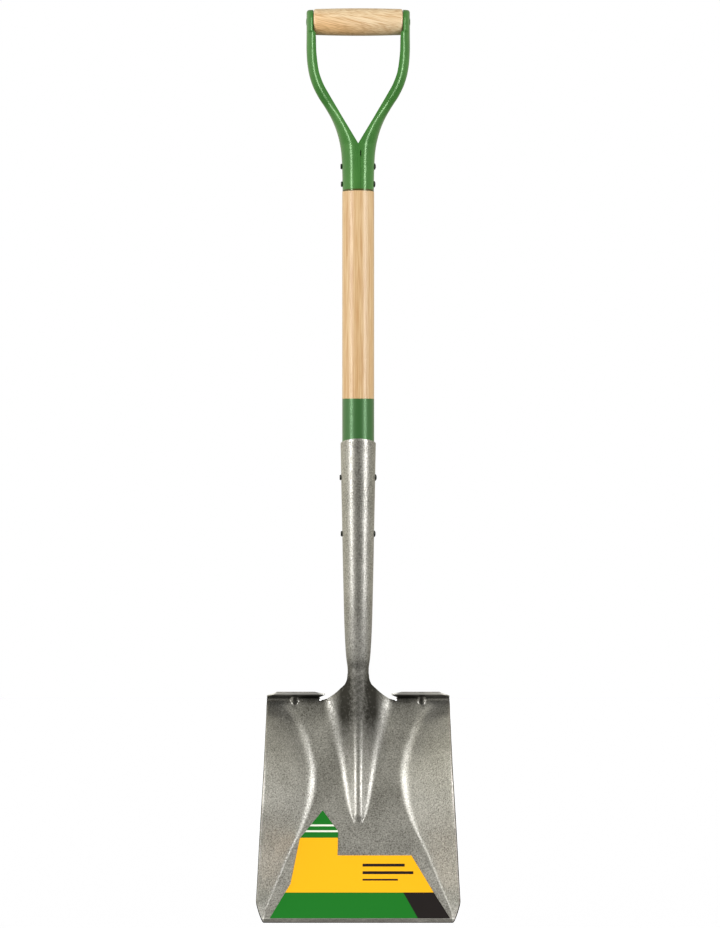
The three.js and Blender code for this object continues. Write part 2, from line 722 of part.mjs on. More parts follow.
function grip() {
  const end = gripSpan * half - clearance;
  const thick = gripDiameter * half;
  const thin = gripEndDiameter * half;
  const bore = rodDiameter * half + clearance;
  const round = gripEndRound;
  const side = [[thin - round, end], [thin - round * 0.3, end - round * 0.3], [thin, end - round]];
  gripRingShares.forEach((share) => {
    side.push([thin + (thick - thin) * Math.cos(share * quarterTurn), end * share]);
  });
  const profile = [[bore, -end]];
  side.forEach(([radius, place]) => profile.push([radius, -place]));
  profile.push([thick, 0]);
  side.slice().reverse().forEach(([radius, place]) => profile.push([radius, place]));
  profile.push([bore, end], [bore, -end]);
  const geometry = turnedAcross(profile, 28);
  geometry.translate(0, 0, gripLevel);
  return piece('grip', solid(geometry), looks.wood);
}

function gripRod() {
  const seat = yokeHalf - rodSeatDepth + clearance;
  const shank = rodDiameter * half;
  const head = rodHeadDiameter * half;
  const top = seat + rodHeadHeight;
  const profile = [[0, -top], [head * 0.6, -top + rodHeadHeight * 0.15], [head, -seat - rodHeadHeight * 0.4],
    [head, -seat], [shank, -seat], [shank, seat], [head, seat], [head, seat + rodHeadHeight * 0.4],
    [head * 0.6, top - rodHeadHeight * 0.15], [0, top]];
  const geometry = turnedAcross(profile, 20);
  geometry.translate(0, 0, gripLevel);
  return piece('grip_rod', solid(geometry), looks.paint);
}

// Rivets: a domed head on one side and a hollow tail rolled over on the other

function rivet(name, level, radius) {
  const headSide = seatOn(radius, rivetHeadDiameter) + clearance;
  const tailSide = seatOn(radius, rivetTailDiameter) + clearance;
  const shank = rivetDiameter * half;
  const head = rivetHeadDiameter * half;
  const tail = rivetTailDiameter * half;
  const hollow = rivetHollowDiameter * half;
  const tailEnd = tailSide + rivetTailHeight;
  const headEnd = headSide + rivetHeadHeight;
  const profile = [[0, rivetHollowDepth - tailEnd], [hollow, rivetHollowDepth - tailEnd], [hollow, -tailEnd],
    [tail * 0.75, -tailEnd], [tail, -tailSide - rivetTailHeight * half], [tail * 0.95, -tailSide],
    [shank, -tailSide], [shank, headSide], [head, headSide], [head * 0.9, headSide + rivetHeadHeight * 0.5],
    [head * 0.55, headSide + rivetHeadHeight * 0.87], [0, headEnd]];
  const geometry = turnedAcross(profile, 16);
  geometry.translate(0, 0, level);
  return piece(name, solid(geometry), looks.rivet);
}

// Label: a die-cut sticker on the pan, above the mouth

function label() {
  const outline = new THREE.Shape(labelShares.map(([across, up]) => new THREE.Vector2(
    across * halfBlade,
    bladeLength - labelMouthMargin - up * labelHeight,
  )));
  const geometry = new THREE.ExtrudeGeometry(outline, { depth: labelThickness, bevelEnabled: false });
  const place = geometry.attributes.position;
  for (let i = 0; i < place.count; i += 1) {
    const point = onBlade(place.getX(i), place.getY(i), clearance + place.getZ(i));
    place.setXYZ(i, point.x, point.y, point.z);
  }
  return piece('label', solid(geometry), looks.label);
}

const shovel = new THREE.Group();
shovel.add(blade(), shaft(), yoke(), grip(), gripRod(), label());
['upper', 'lower'].forEach((place, k) => {
  const yokeLevel = crotchLevel - yokeRivetDrops[k];
  const socketLevel = socketRimLevel - socketRivetDrops[k];
  shovel.add(rivet(`yoke_rivet_${place}`, yokeLevel, armSection(yokeLevel).outer));
  shovel.add(rivet(`socket_rivet_${place}`, socketLevel, socketRadius(socketLevel)));
});

export default shovel;
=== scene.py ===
# %% [markdown]
# # A D-handled square mouth shovel
# The frame holds the shovel's solids, already made to size. This lesson models finer pieces in their places
# and gives each one its real finish. One unit is one metre, +Z is up, and the blade's load side faces -Y.
# The origin is the middle of the grip's underside.

from math import cos, hypot, pi, radians, sin, sqrt, tan

import bpy
import numpy as np
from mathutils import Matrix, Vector


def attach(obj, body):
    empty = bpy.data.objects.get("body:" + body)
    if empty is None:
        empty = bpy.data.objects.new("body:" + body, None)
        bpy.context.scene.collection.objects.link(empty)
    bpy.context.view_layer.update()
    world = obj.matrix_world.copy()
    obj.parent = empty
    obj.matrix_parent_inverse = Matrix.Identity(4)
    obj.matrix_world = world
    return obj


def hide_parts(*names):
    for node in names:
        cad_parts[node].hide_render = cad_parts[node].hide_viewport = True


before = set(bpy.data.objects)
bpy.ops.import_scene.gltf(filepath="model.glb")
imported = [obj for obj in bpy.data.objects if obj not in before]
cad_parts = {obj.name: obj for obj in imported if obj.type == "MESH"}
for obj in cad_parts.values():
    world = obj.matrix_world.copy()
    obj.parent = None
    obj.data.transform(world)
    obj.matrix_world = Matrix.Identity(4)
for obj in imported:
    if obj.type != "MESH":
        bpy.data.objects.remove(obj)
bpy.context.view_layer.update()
print("the frame holds", len(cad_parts), "pieces")

# %% [markdown]
# ## Working habits
# An operator acts on all that is selected, and loading leaves every solid selected. So each new piece
# starts with nothing selected. A finished piece stands for a solid of the frame, which then no longer
# shows.

# %% Starting and handing over a piece
SMOOTHING_ANGLE = radians(38)


def select_only(*pieces):
    """Deselects everything, then selects these pieces and makes the first one active."""
    bpy.ops.object.select_all(action="DESELECT")
    for piece in reversed(pieces):
        piece.select_set(True)
        bpy.context.view_layer.objects.active = piece


def use_modifier(piece, kind, **settings):
    """Adds a modifier and applies it at once, as with its Apply button."""
    select_only(piece)
    modifier = piece.modifiers.new(kind.title(), kind)
    for name, value in settings.items():
        setattr(modifier, name, value)
    bpy.ops.object.modifier_apply(modifier=modifier.name)


def hand_over(piece, name, slot, *nodes):
    """Names a finished piece, smooths it, and puts it in the place of its solids."""
    select_only(piece)
    bpy.ops.object.transform_apply()
    bpy.ops.object.shade_smooth_by_angle(angle=SMOOTHING_ANGLE)
    piece.name = name
    piece.data.name = name
    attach(piece, "root")
    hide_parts(*nodes)
    triangles = sum(len(face.vertices) - 2 for face in piece.data.polygons)
    print(name, "has", triangles, "triangles")
    return piece


# %% [markdown]
# ## Curves through a few chosen points
# Most edges of the shovel are slow curves. A short table gives shares: how far along the piece, and how
# much of the full size there. The curve that joins them never overshoots, because a highlight shows every
# ripple.

# %% A smooth curve through a table of shares
HALVINGS = 40


def mix(first, second, share):
    return first + (second - first) * share


def along(shares, place):
    last = len(shares) - 1
    if place <= shares[0][0]:
        return shares[0][1]
    if place >= shares[last][0]:
        return shares[last][1]

    def slope(k):
        return (shares[k + 1][1] - shares[k][1]) / (shares[k + 1][0] - shares[k][0])

    def tangent(point):
        before = slope(max(point - 1, 0))
        after = slope(min(point, last - 1))
        return 0 if before * after <= 0 else 2 * before * after / (before + after)

    k = 0
    while place > shares[k + 1][0]:
        k += 1
    span = shares[k + 1][0] - shares[k][0]
    t = (place - shares[k][0]) / span
    ease = t * t * (3 - 2 * t)
    straight = mix(shares[k][1], shares[k + 1][1], ease)
    return straight + t * (1 - t) * span * ((1 - t) * tangent(k) - t * tangent(k + 1))


def ease_between(value, low, high):
    t = min(1, max(0, (value - low) / (high - low)))
    return t * t * (3 - 2 * t)


def furthest(span, fits):
    """The furthest value up to a span that still fits, found by halving the step."""
    reached = 0
    step = span / 2
    for _ in range(HALVINGS):
        if fits(reached + step):
            reached += step
        step /= 2
    return reached


def steps_to(end, count):
    """Equal steps from zero up to an end, without the start."""
    return [end * k / count for k in range(1, count + 1)]


def spaced(stretches):
    """Places through several stretches, each given by its start, its end and its number of steps."""
    places = [stretches[0][0]]
    for start, end, steps in stretches:
        places += [mix(start, end, share) for share in steps_to(1, steps)]
    return places


# %% [markdown]
# ## The blade
# The real blade is one blank of spring steel with dished sides and a ridge up its middle. The ridge's upper
# end is rolled round the shaft, and the top edges are folded forwards as treads. Vertices dragged one by
# one would never give such even curves. So the vertices of grid primitives are moved to where the press
# puts them: one grid for ridge and socket, and one for each half.

# %% Sizes of the blade, down its slope and across it
BLADE_LIFT = radians(24)
BLADE_LENGTH = 0.269
HALF_BLADE = 0.1171
STEEL_THICKNESS = 0.0015
PAN_SET_BACK = 0.0035
FOLD_LEVEL = -0.7912
WALL_HEIGHT = 0.047
CREASE_SOFTNESS = 0.009
SOFT_LIMIT_SHARE = 0.8

EDGE_SHARES = ((0, 0.927), (0.055, 0.923), (0.11, 0.9195), (0.2, 0.92), (0.35, 0.926), (0.5, 0.942),
               (0.6, 0.9555), (0.7, 0.969), (0.8, 0.98), (0.9, 0.993), (0.918, 0.996), (0.955, 0.975),
               (1, 0.934))
CREASE_SHARES = ((0, 0.74), (0.05, 0.68), (0.11, 0.592), (0.19, 0.527), (0.264, 0.485), (0.35, 0.461),
                 (0.43, 0.471), (0.5, 0.503), (0.58, 0.566), (0.7, 0.688), (0.82, 0.796), (0.91, 0.88),
                 (0.97, 0.923), (1, 0.93))
SOFT_SHARES = ((0, 0.9), (0.2, 1), (0.35, 1), (0.5, 0.65), (0.64, 0.33), (0.82, 0.2), (1, 0.1))
WALL_SHARES = ((0, 0), (0.012, 0.08), (0.055, 0.26), (0.11, 0.505), (0.2, 0.765), (0.3, 0.95), (0.38, 1),
               (0.5, 0.95), (0.6, 0.795), (0.7, 0.59), (0.8, 0.425), (0.9, 0.25), (0.955, 0.112), (1, 0))


def on_blade(across, down, height):
    """A place on the blade: across it, down from the tread's fold, and off the pan towards the load."""
    back = PAN_SET_BACK - sin(BLADE_LIFT) * down - cos(BLADE_LIFT) * height
    up = FOLD_LEVEL - cos(BLADE_LIFT) * down + sin(BLADE_LIFT) * height
    return (across, back, up)


def edge_half(down):
    return HALF_BLADE * along(EDGE_SHARES, down / BLADE_LENGTH)


def crease_half(down):
    return HALF_BLADE * along(CREASE_SHARES, down / BLADE_LENGTH)


def crease_soft(down):
    soft = CREASE_SOFTNESS * along(SOFT_SHARES, down / BLADE_LENGTH)
    return min(soft, (edge_half(down) - crease_half(down)) * SOFT_LIMIT_SHARE)


def wall_at(across, down):
    """How far the dished side stands off the pan: a soft crease, then a straight slope to the edge."""
    soft = crease_soft(down)
    past = across - crease_half(down)
    rise = WALL_HEIGHT * along(WALL_SHARES, down / BLADE_LENGTH)
    slope = rise / (edge_half(down) - crease_half(down))
    if past <= -soft:
        return 0
    if past >= soft:
        return past * slope
    return (past + soft) ** 2 * slope / (4 * soft)


print("the blade is", round(2 * edge_half(0), 4), "m wide at the folds")

# %% [markdown]
# The ridge stiffens the thin blade. Its section is a round crown, two straight flanks and two hollow feet,
# solved for the angle of its flank at which the three come to the ridge's height. Above the treads the
# shoulder's edge cuts the section short, and its columns close up.

# %% The ridge's section
RIDGE_LENGTH = 0.148
RIDGE_END_HEIGHT = 0.0034
RIDGE_END_RUN = 0.013
CROWN_RADIUS = 0.0084
CROWN_LIMIT_SHARE = 0.9
NECK_RADIUS = 0.0132
NECK_DEPTH = 0.0272
NECK_HALF_WIDTH = 0.0161
NECK_ABOVE = 0.0144
NECK_WAIST = 0.0132
NECK_FLARE = 0.009
NECK_FOOT = 0.017
NECK_FOOT_RUN = 0.042
FOOT_HALF_WIDTH = 0.045
FOOT_END_HALF_WIDTH = 0.007
SHOULDER_SHARES = ((0, 1), (0.021, 0.894), (0.06, 0.81), (0.174, 0.679), (0.382, 0.479), (0.59, 0.305),
                   (0.8, 0.153), (1, 0))
FOOT_SHARES = ((0, 1), (0.068, 0.935), (0.135, 0.865), (0.304, 0.67), (0.507, 0.48), (0.676, 0.365),
               (0.81, 0.27), (0.92, 0.15), (1, 0))
CROWN_SHARES = ((0, 1), (0.12, 0.7), (0.2, 0.45), (0.3, 0.28), (0.45, 0.1), (0.6, 0), (1, 0))
FILLET_SHARES = ((0, 0.45), (0.09, 0.47), (0.14, 0.52), (0.19, 0.62), (0.27, 0.635), (0.38, 0.56),
                 (0.485, 0.54), (0.62, 0.55), (0.8, 0.6), (1, 0.6))
CROWN_COLUMNS = 12
FLANK_COLUMNS = 10
FILLET_COLUMNS = 14
RIDGE_COLUMNS = CROWN_COLUMNS + FLANK_COLUMNS + FILLET_COLUMNS


def foot_half(down):
    if down < 0:
        return mix(FOOT_HALF_WIDTH, NECK_FOOT, ease_between(-down, 0, NECK_FOOT_RUN))
    foot = mix(FOOT_END_HALF_WIDTH, FOOT_HALF_WIDTH, along(FOOT_SHARES, down / RIDGE_LENGTH))
    below = max(0, (down - RIDGE_LENGTH - RIDGE_END_RUN) / (BLADE_LENGTH - RIDGE_LENGTH))
    return mix(foot, FOOT_HALF_WIDTH, below)


def cut_half(down):
    """Where the sheet ends sideways: the foot on the pan, the shoulder's edge above it, then the neck."""
    if down >= 0:
        return foot_half(down)
    if down < -NECK_ABOVE:
        flare = max(0, 1 + (down + NECK_ABOVE) / NECK_FLARE)
        return mix(NECK_WAIST, NECK_HALF_WIDTH, flare * flare)
    return mix(NECK_HALF_WIDTH, FOOT_HALF_WIDTH, along(SHOULDER_SHARES, -down / NECK_ABOVE))


def ridge_row(down):
    """The half section at one place down the blade: pairs of a place across and a height."""
    foot = foot_half(down)
    slope = (RIDGE_END_HEIGHT - NECK_DEPTH) / (RIDGE_LENGTH + NECK_ABOVE)
    height = max(NECK_DEPTH + slope * (down + NECK_ABOVE), RIDGE_END_HEIGHT)
    from_neck = max(0, (down + NECK_ABOVE) / (RIDGE_LENGTH + NECK_ABOVE))
    crown = mix(CROWN_RADIUS, NECK_RADIUS, along(CROWN_SHARES, from_neck))
    crown = min(crown, foot * CROWN_LIMIT_SHARE)
    hollow = along(FILLET_SHARES, from_neck)

    def stays_low(angle):
        run = foot - crown * sin(angle)
        drop = crown * (1 - cos(angle)) + hollow * run * tan(angle / 2)
        return drop + (1 - hollow) * run * tan(angle) < height

    turn = furthest(pi / 2, stays_low)
    crown_end = crown * sin(turn)
    fillet = hollow * (foot - crown_end) / sin(turn)
    fillet_start = foot - fillet * sin(turn)
    fade = 1 - ease_between(down, RIDGE_LENGTH - RIDGE_END_RUN / 2, RIDGE_LENGTH + RIDGE_END_RUN / 2)

    def place_across(column):
        on_flank = column - CROWN_COLUMNS
        on_fillet = on_flank - FLANK_COLUMNS
        if on_flank <= 0:
            return crown * sin(turn * column / CROWN_COLUMNS)
        if on_fillet <= 0:
            return mix(crown_end, fillet_start, on_flank / FLANK_COLUMNS)
        return foot - fillet * sin(turn * (1 - on_fillet / FILLET_COLUMNS))

    cut = cut_half(down)
    kept = RIDGE_COLUMNS
    if cut < foot:
        kept = furthest(RIDGE_COLUMNS, lambda column: place_across(column) < cut)
    row = []
    for column in range(RIDGE_COLUMNS + 1):
        across = place_across(column * kept / RIDGE_COLUMNS)
        if across <= crown_end:
            up = height - crown + sqrt(crown * crown - across * across)
        elif across < fillet_start:
            up = height - crown * (1 - cos(turn)) - (across - crown_end) * tan(turn)
        else:
            up = fillet - sqrt(fillet * fillet - max(0, foot - across) ** 2)
        row.append((across, up * fade))
    return row


print("the ridge is", round(ridge_row(0)[0][1], 4), "m high at the folds")

# %% [markdown]
# Above the treads the steel is rolled round the shaft until its edges almost meet at the back. Towards the
# neck this tube opens and flattens into the ridge, so the two shapes are mixed over a short length.

# %% The socket and the rows of the middle grid
SOCKET_LENGTH = 0.3055
SOCKET_RIM_LEVEL = FOLD_LEVEL + SOCKET_LENGTH
SOCKET_RIM_RADIUS = 0.021
SOCKET_SEAM_GAP = 0.0012
RIM_SLANT = radians(16)
SLANT_END_SHARE = 0.12
WRAP_OPENS_SHARE = 0.8
ROLL_OPENS_SHARE = 0.84
NECK_WRAP = radians(105)
SOCKET_SHARES = ((0, 1), (0.063, 0.98), (0.156, 0.958), (0.31, 0.912), (0.437, 0.879), (0.562, 0.838),
                 (0.686, 0.793), (0.749, 0.757), (0.811, 0.705), (0.873, 0.634), (1, 0.63))
SOCKET_ROW_SHARES = ((0.95, 0.72, 32), (0.72, 0.12, 34), (0.12, 0, 12))
NECK_ROW_SHARES = ((0, 0.1, 4), (0.1, 1, 18))
PAN_ROW_SHARES = ((1, 0.93, 14), (0.93, 0.6, 30), (0.6, 0.5, 22), (0.5, 0.05, 48), (0.05, 0, 14))


def socket_radius(level):
    return SOCKET_RIM_RADIUS * along(SOCKET_SHARES, (SOCKET_RIM_LEVEL - level) / SOCKET_LENGTH)


def mirrored(half_row):
    """A whole row from its right half."""
    left = [(-across, back, up) for across, back, up in reversed(half_row[1:])]
    return left + half_row


def socket_row(share):
    level = SOCKET_RIM_LEVEL - share * SOCKET_LENGTH
    radius = socket_radius(level)
    slant = max(0, 1 - share / SLANT_END_SHARE) * tan(RIM_SLANT)
    neck_share = (SOCKET_RIM_LEVEL - FOLD_LEVEL - cos(BLADE_LIFT) * NECK_ABOVE) / SOCKET_LENGTH
    opened = ease_between(share, WRAP_OPENS_SHARE, neck_share)
    unrolled = ease_between(share, ROLL_OPENS_SHARE, neck_share)
    wrap = mix(pi - SOCKET_SEAM_GAP / 2 / radius, NECK_WRAP, opened)
    down = (FOLD_LEVEL - level) / cos(BLADE_LIFT)
    flat = ridge_row(down)
    row = []
    for column in range(RIDGE_COLUMNS + 1):
        angle = wrap * column / RIDGE_COLUMNS
        back = -radius * cos(angle)
        rolled = Vector((radius * sin(angle), back, level - slant * back))
        across, height = flat[column]
        row.append(tuple(rolled.lerp(Vector(on_blade(across, down, height)), unrolled)))
    return mirrored(row)


def ridge_rows():
    downs = [share * BLADE_LENGTH for share in spaced(PAN_ROW_SHARES)]
    downs += [-share * NECK_ABOVE for share in spaced(NECK_ROW_SHARES)[1:]]
    rows = []
    for down in downs:
        rows.append(mirrored([on_blade(across, down, height) for across, height in ridge_row(down)]))
    return rows + [socket_row(share) for share in spaced(SOCKET_ROW_SHARES)]


print("the socket's rim is", round(2 * socket_radius(SOCKET_RIM_LEVEL), 4), "m wide")

# %% [markdown]
# Each half carries a tread: a tight bend, a flat, and a free edge that turns up as a stiff lip. A gusset,
# punched across the inside of the fold, stops the tread from bending down under a boot. It lifts both faces
# along the diagonal between them.

# %% The tread, its gusset and the rows of a side grid
TREAD_BEND = 0.0025
TREAD_DEPTH = 0.0175
TREAD_LIP_RADIUS = 0.005
TREAD_LIP_TURN = radians(42)
TREAD_INSET = 0.047
TREAD_TIP_HALF = 0.039
TREAD_TIP_DEPTH = 0.013
TREAD_FREE_INNER = 0.0514
TREAD_FREE_OUTER = 0.0966
TREAD_OUTER_DEPTH = 0.0065
GUSSET_SHARE = 1.35
GUSSET_HALF_WIDTH = 0.0052
GUSSET_REACH = 0.0088
GUSSET_ROUNDING = 0.0008
GUSSET_POWER = 0.7
DENSE_SHARE = 0.75
PAN_COLUMNS = 14
CREASE_COLUMNS = 28
WALL_COLUMNS = 18
BEND_ROWS = 8
FLAT_ROWS = 12
LIP_ROWS = 6


def side_places(down):
    """Places across one half, from the ridge's foot to the edge, closest together round the crease."""
    crease = crease_half(down)
    soft = crease_soft(down)
    foot = foot_half(down)
    pan_end = crease - soft * (GUSSET_SHARE + DENSE_SHARE)
    wall_start = crease + soft * DENSE_SHARE
    return spaced((
        (foot, pan_end, PAN_COLUMNS),
        (pan_end, wall_start, CREASE_COLUMNS),
        (wall_start, edge_half(down), WALL_COLUMNS),
    ))


GUSSET_HALF = crease_half(0) - crease_soft(0) * GUSSET_SHARE


def gusset_lift(across, down, height):
    sideways = min(1, abs(across - GUSSET_HALF) / GUSSET_HALF_WIDTH)
    reach = GUSSET_REACH * (1 - sideways * sideways) ** GUSSET_POWER
    inside = reach - (down + TREAD_BEND) - height
    return (inside + sqrt(inside * inside + GUSSET_ROUNDING ** 2)) / 4


def tread_rows():
    """Places down the blade and off the pan, round the bend, along the flat and up the lip."""
    rows = []
    for angle in steps_to(pi / 2, BEND_ROWS):
        rows.append((-TREAD_BEND * sin(angle), TREAD_BEND * (1 - cos(angle))))
    flat_end = TREAD_DEPTH - TREAD_LIP_RADIUS * sin(TREAD_LIP_TURN)
    for share in steps_to(1, FLAT_ROWS):
        rows.append((-TREAD_BEND, mix(TREAD_BEND, flat_end, share)))
    for angle in steps_to(TREAD_LIP_TURN, LIP_ROWS):
        down = -TREAD_BEND - TREAD_LIP_RADIUS * (1 - cos(angle))
        rows.append((down, flat_end + TREAD_LIP_RADIUS * sin(angle)))
    return rows


def tread_inner(depth):
    places = (FOOT_HALF_WIDTH, TREAD_INSET, TREAD_TIP_HALF, TREAD_FREE_INNER)
    return np.interp(depth, (0, TREAD_BEND, TREAD_TIP_DEPTH, TREAD_DEPTH), places)


def tread_outer(depth):
    return np.interp(depth, (TREAD_OUTER_DEPTH, TREAD_DEPTH), (edge_half(0), TREAD_FREE_OUTER))


def side_rows(side):
    rows = []
    for share in spaced(PAN_ROW_SHARES):
        down = share * BLADE_LENGTH
        row = []
        for across in side_places(down):
            lift = gusset_lift(across, down, 0)
            row.append(on_blade(side * across, down + lift, wall_at(across, down) + lift))
        across, height = ridge_row(down)[-1]
        row[0] = on_blade(side * across, down, height)
        rows.append(row)
    fold = side_places(0)
    for down, depth in tread_rows():
        row = []
        for place in fold:
            share = (place - fold[0]) / (fold[-1] - fold[0])
            across = mix(tread_inner(depth), tread_outer(depth), share)
            lift = gusset_lift(across, down, depth)
            row.append(on_blade(side * across, down + lift, depth + lift))
        rows.append(row)
    return [row if side > 0 else row[::-1] for row in rows]


print("a tread has", len(tread_rows()), "rows")

# %% [markdown]
# The grids share their border vertices, so they merge into one sheet, and Solidify makes it as thick as the
# steel. A Boolean drills a notch at the end of each fold, which keeps the steel from tearing there, and a
# Bevel rounds the cut edges.

# %% Press the grids, weld them and give the steel its thickness
WELD_DISTANCE = 0.00002
STEEL_EDGE_ROUNDING = 0.00035
EDGE_ANGLE = radians(50)
NOTCH_RADIUS = 0.0018
NOTCH_LIFT = 0.0007
NOTCH_DEPTH = 0.008
DRILL_SEGMENTS = 40


def pressed_grid(rows):
    """A grid primitive with one vertex for each place, moved there as the press moves the blank."""
    select_only()
    bpy.ops.mesh.primitive_grid_add(x_subdivisions=len(rows[0]) - 1, y_subdivisions=len(rows) - 1)
    grid = bpy.context.object
    grid.data.vertices.foreach_set("co", np.array(rows, dtype=np.float32).ravel())
    grid.data.update()
    return grid


def welded(*grids):
    """Joins grids and merges the vertices that they share."""
    select_only(*grids)
    bpy.ops.object.join()
    bpy.ops.object.mode_set(mode="EDIT")
    bpy.ops.mesh.select_all(action="SELECT")
    bpy.ops.mesh.remove_doubles(threshold=WELD_DISTANCE)
    bpy.ops.object.mode_set(mode="OBJECT")
    return bpy.context.object


def cut_away(piece, cutter):
    use_modifier(piece, "BOOLEAN", operation="DIFFERENCE", solver="EXACT", object=cutter)
    bpy.data.objects.remove(cutter)


def round_edges(piece, width, segments):
    use_modifier(
        piece, "BEVEL", width=width, segments=segments, limit_method="ANGLE", angle_limit=EDGE_ANGLE
    )


def drill(radius, depth, place, turn):
    """A round cutter about a place, its axis turned from upright."""
    select_only()
    bpy.ops.mesh.primitive_cylinder_add(
        vertices=DRILL_SEGMENTS, radius=radius, depth=depth, location=place, rotation=turn
    )
    bpy.ops.object.transform_apply()
    return bpy.context.object


blade = welded(pressed_grid(ridge_rows()), pressed_grid(side_rows(-1)), pressed_grid(side_rows(1)))
use_modifier(blade, "SOLIDIFY", thickness=STEEL_THICKNESS, offset=-1, use_even_offset=True)
for side in (-1, 1):
    middle = on_blade(side * FOOT_HALF_WIDTH, -NOTCH_LIFT, TREAD_BEND / 2)
    cut_away(blade, drill(NOTCH_RADIUS, NOTCH_DEPTH, middle, (pi / 2 - BLADE_LIFT, 0, 0)))
round_edges(blade, STEEL_EDGE_ROUNDING, 2)
hand_over(blade, "blade_pressed", "blade_steel", "blade")

# %% [markdown]
# ## The yoke
# The yoke joins shaft and grip. It is formed sheet: two arms like long spoons, open towards each other,
# that run together into one socket. Each level of an arm is half an ellipse. A Mirror modifier makes the
# left half from the right one and welds both where they touch, and Solidify adds the wall inwards.

# %% Sizes and levels of the yoke
HAND_OPENING = 0.1297
YOKE_SOCKET_LENGTH = 0.056
YOKE_RIM_LEVEL = -HAND_OPENING - YOKE_SOCKET_LENGTH
YOKE_HALF_WIDTH = 0.0616
YOKE_WALL = 0.0018
GRIP_LEVEL = 0.0162
EAR_RADIUS = 0.0144
EAR_CORNER_ROUND = 0.0036
EAR_STEP_LOW = 0.0012
EAR_STEP_HIGH = 0.0052
EAR_INNER_HALF = 0.0535
ARM_HALF_DEPTH = 0.012
ARM_INNER_HALF = 0.0505
ARM_OUTER_SHARES = ((0, 0.998), (0.111, 1), (0.222, 0.99), (0.333, 0.959), (0.444, 0.894), (0.556, 0.782),
                    (0.664, 0.636), (0.774, 0.506), (0.884, 0.414), (1, 0.352), (1.1, 0.323), (1.27, 0.308),
                    (1.45, 0.302))
ARM_INNER_SHARES = ((0, 1), (0.111, 0.993), (0.222, 0.968), (0.333, 0.926), (0.444, 0.829), (0.556, 0.673),
                    (0.664, 0.511), (0.774, 0.351), (0.884, 0.185), (1.005, 0))
ARM_DEPTH_SHARES = ((0, 1), (0.25, 0), (0.7, 0))
WRAP_START_SHARE = 0.62
WRAP_END_SHARE = 1.08
CROTCH_SHARE = 1.005
ARM_ROW_SHARES = ((CROTCH_SHARE, 0.7, 28), (0.7, 0, 62))
SOCKET_ROWS = 22
EAR_ROWS = 5
STEP_ROWS = 8
DOME_ROWS = 16
ARM_COLUMNS = 32


def arm_section(level):
    """The inner place, the outer place and the half depth of an arm at one level."""
    share = -level / HAND_OPENING
    outer = YOKE_HALF_WIDTH * along(ARM_OUTER_SHARES, share)
    inner = ARM_INNER_HALF * along(ARM_INNER_SHARES, share)
    inner = mix(inner, EAR_INNER_HALF, ease_between(level, EAR_STEP_LOW, EAR_STEP_HIGH))
    depth = mix(ARM_HALF_DEPTH, EAR_RADIUS, along(ARM_DEPTH_SHARES, share))
    depth = mix(depth, outer, ease_between(share, WRAP_START_SHARE, WRAP_END_SHARE))
    if level > GRIP_LEVEL:
        above = min(level - GRIP_LEVEL, EAR_RADIUS)
        depth = sqrt(EAR_RADIUS ** 2 - above ** 2)
        past = max(0, above - EAR_RADIUS + EAR_CORNER_ROUND)
        outer -= EAR_CORNER_ROUND - sqrt(EAR_CORNER_ROUND ** 2 - past ** 2)
    return inner, outer, depth


def arm_row(level):
    inner, outer, depth = arm_section(level)
    row = []
    for column in range(ARM_COLUMNS + 1):
        angle = pi * column / ARM_COLUMNS
        row.append((mix(inner, outer, sin(angle)), -depth * cos(angle), level))
    return row


def arm_levels():
    crotch = -HAND_OPENING * CROTCH_SHARE
    levels = [mix(YOKE_RIM_LEVEL, crotch, k / SOCKET_ROWS) for k in range(SOCKET_ROWS)]
    levels += [-share * HAND_OPENING for share in spaced(ARM_ROW_SHARES)]
    levels += spaced(((EAR_STEP_LOW, EAR_STEP_HIGH, STEP_ROWS), (EAR_STEP_HIGH, GRIP_LEVEL, EAR_ROWS)))
    return levels + [GRIP_LEVEL + EAR_RADIUS * sin(angle) for angle in steps_to(pi / 2, DOME_ROWS)]


print("an arm has", len(arm_levels()), "levels")

# %% [markdown]
# The blank's edges meet at the front of the socket, a little to one side, and leave a small slot under the
# crotch. A Boolean cuts both with thin upright blocks. Each ear gets a flat seat for a head of the rod and
# a hole for its shank.

# %% Form the yoke and cut its seam
SEAM_GAP = 0.00025
SEAM_OFFSET = 0.003
SEAM_BELOW_CROTCH = 0.009
SLOT_WIDTH = 0.0013
SLOT_HEIGHT = 0.007
CUT_DEPTH = 0.012
PAINTED_EDGE_ROUNDING = 0.00045
ROD_RADIUS = 0.003
ROD_HEAD_RADIUS = 0.005
ROD_SEAT = 0.0611
FIT = 0.0003


def cutting_block(width, low, high):
    """An upright block in front of the socket, from one level to another."""
    select_only()
    front = -YOKE_HALF_WIDTH * along(ARM_OUTER_SHARES, WRAP_END_SHARE)
    bpy.ops.mesh.primitive_cube_add(size=1, location=(SEAM_OFFSET, front, (low + high) / 2))
    block = bpy.context.object
    block.scale = (width, CUT_DEPTH, high - low)
    bpy.ops.object.transform_apply(location=False, rotation=False, scale=True)
    return block


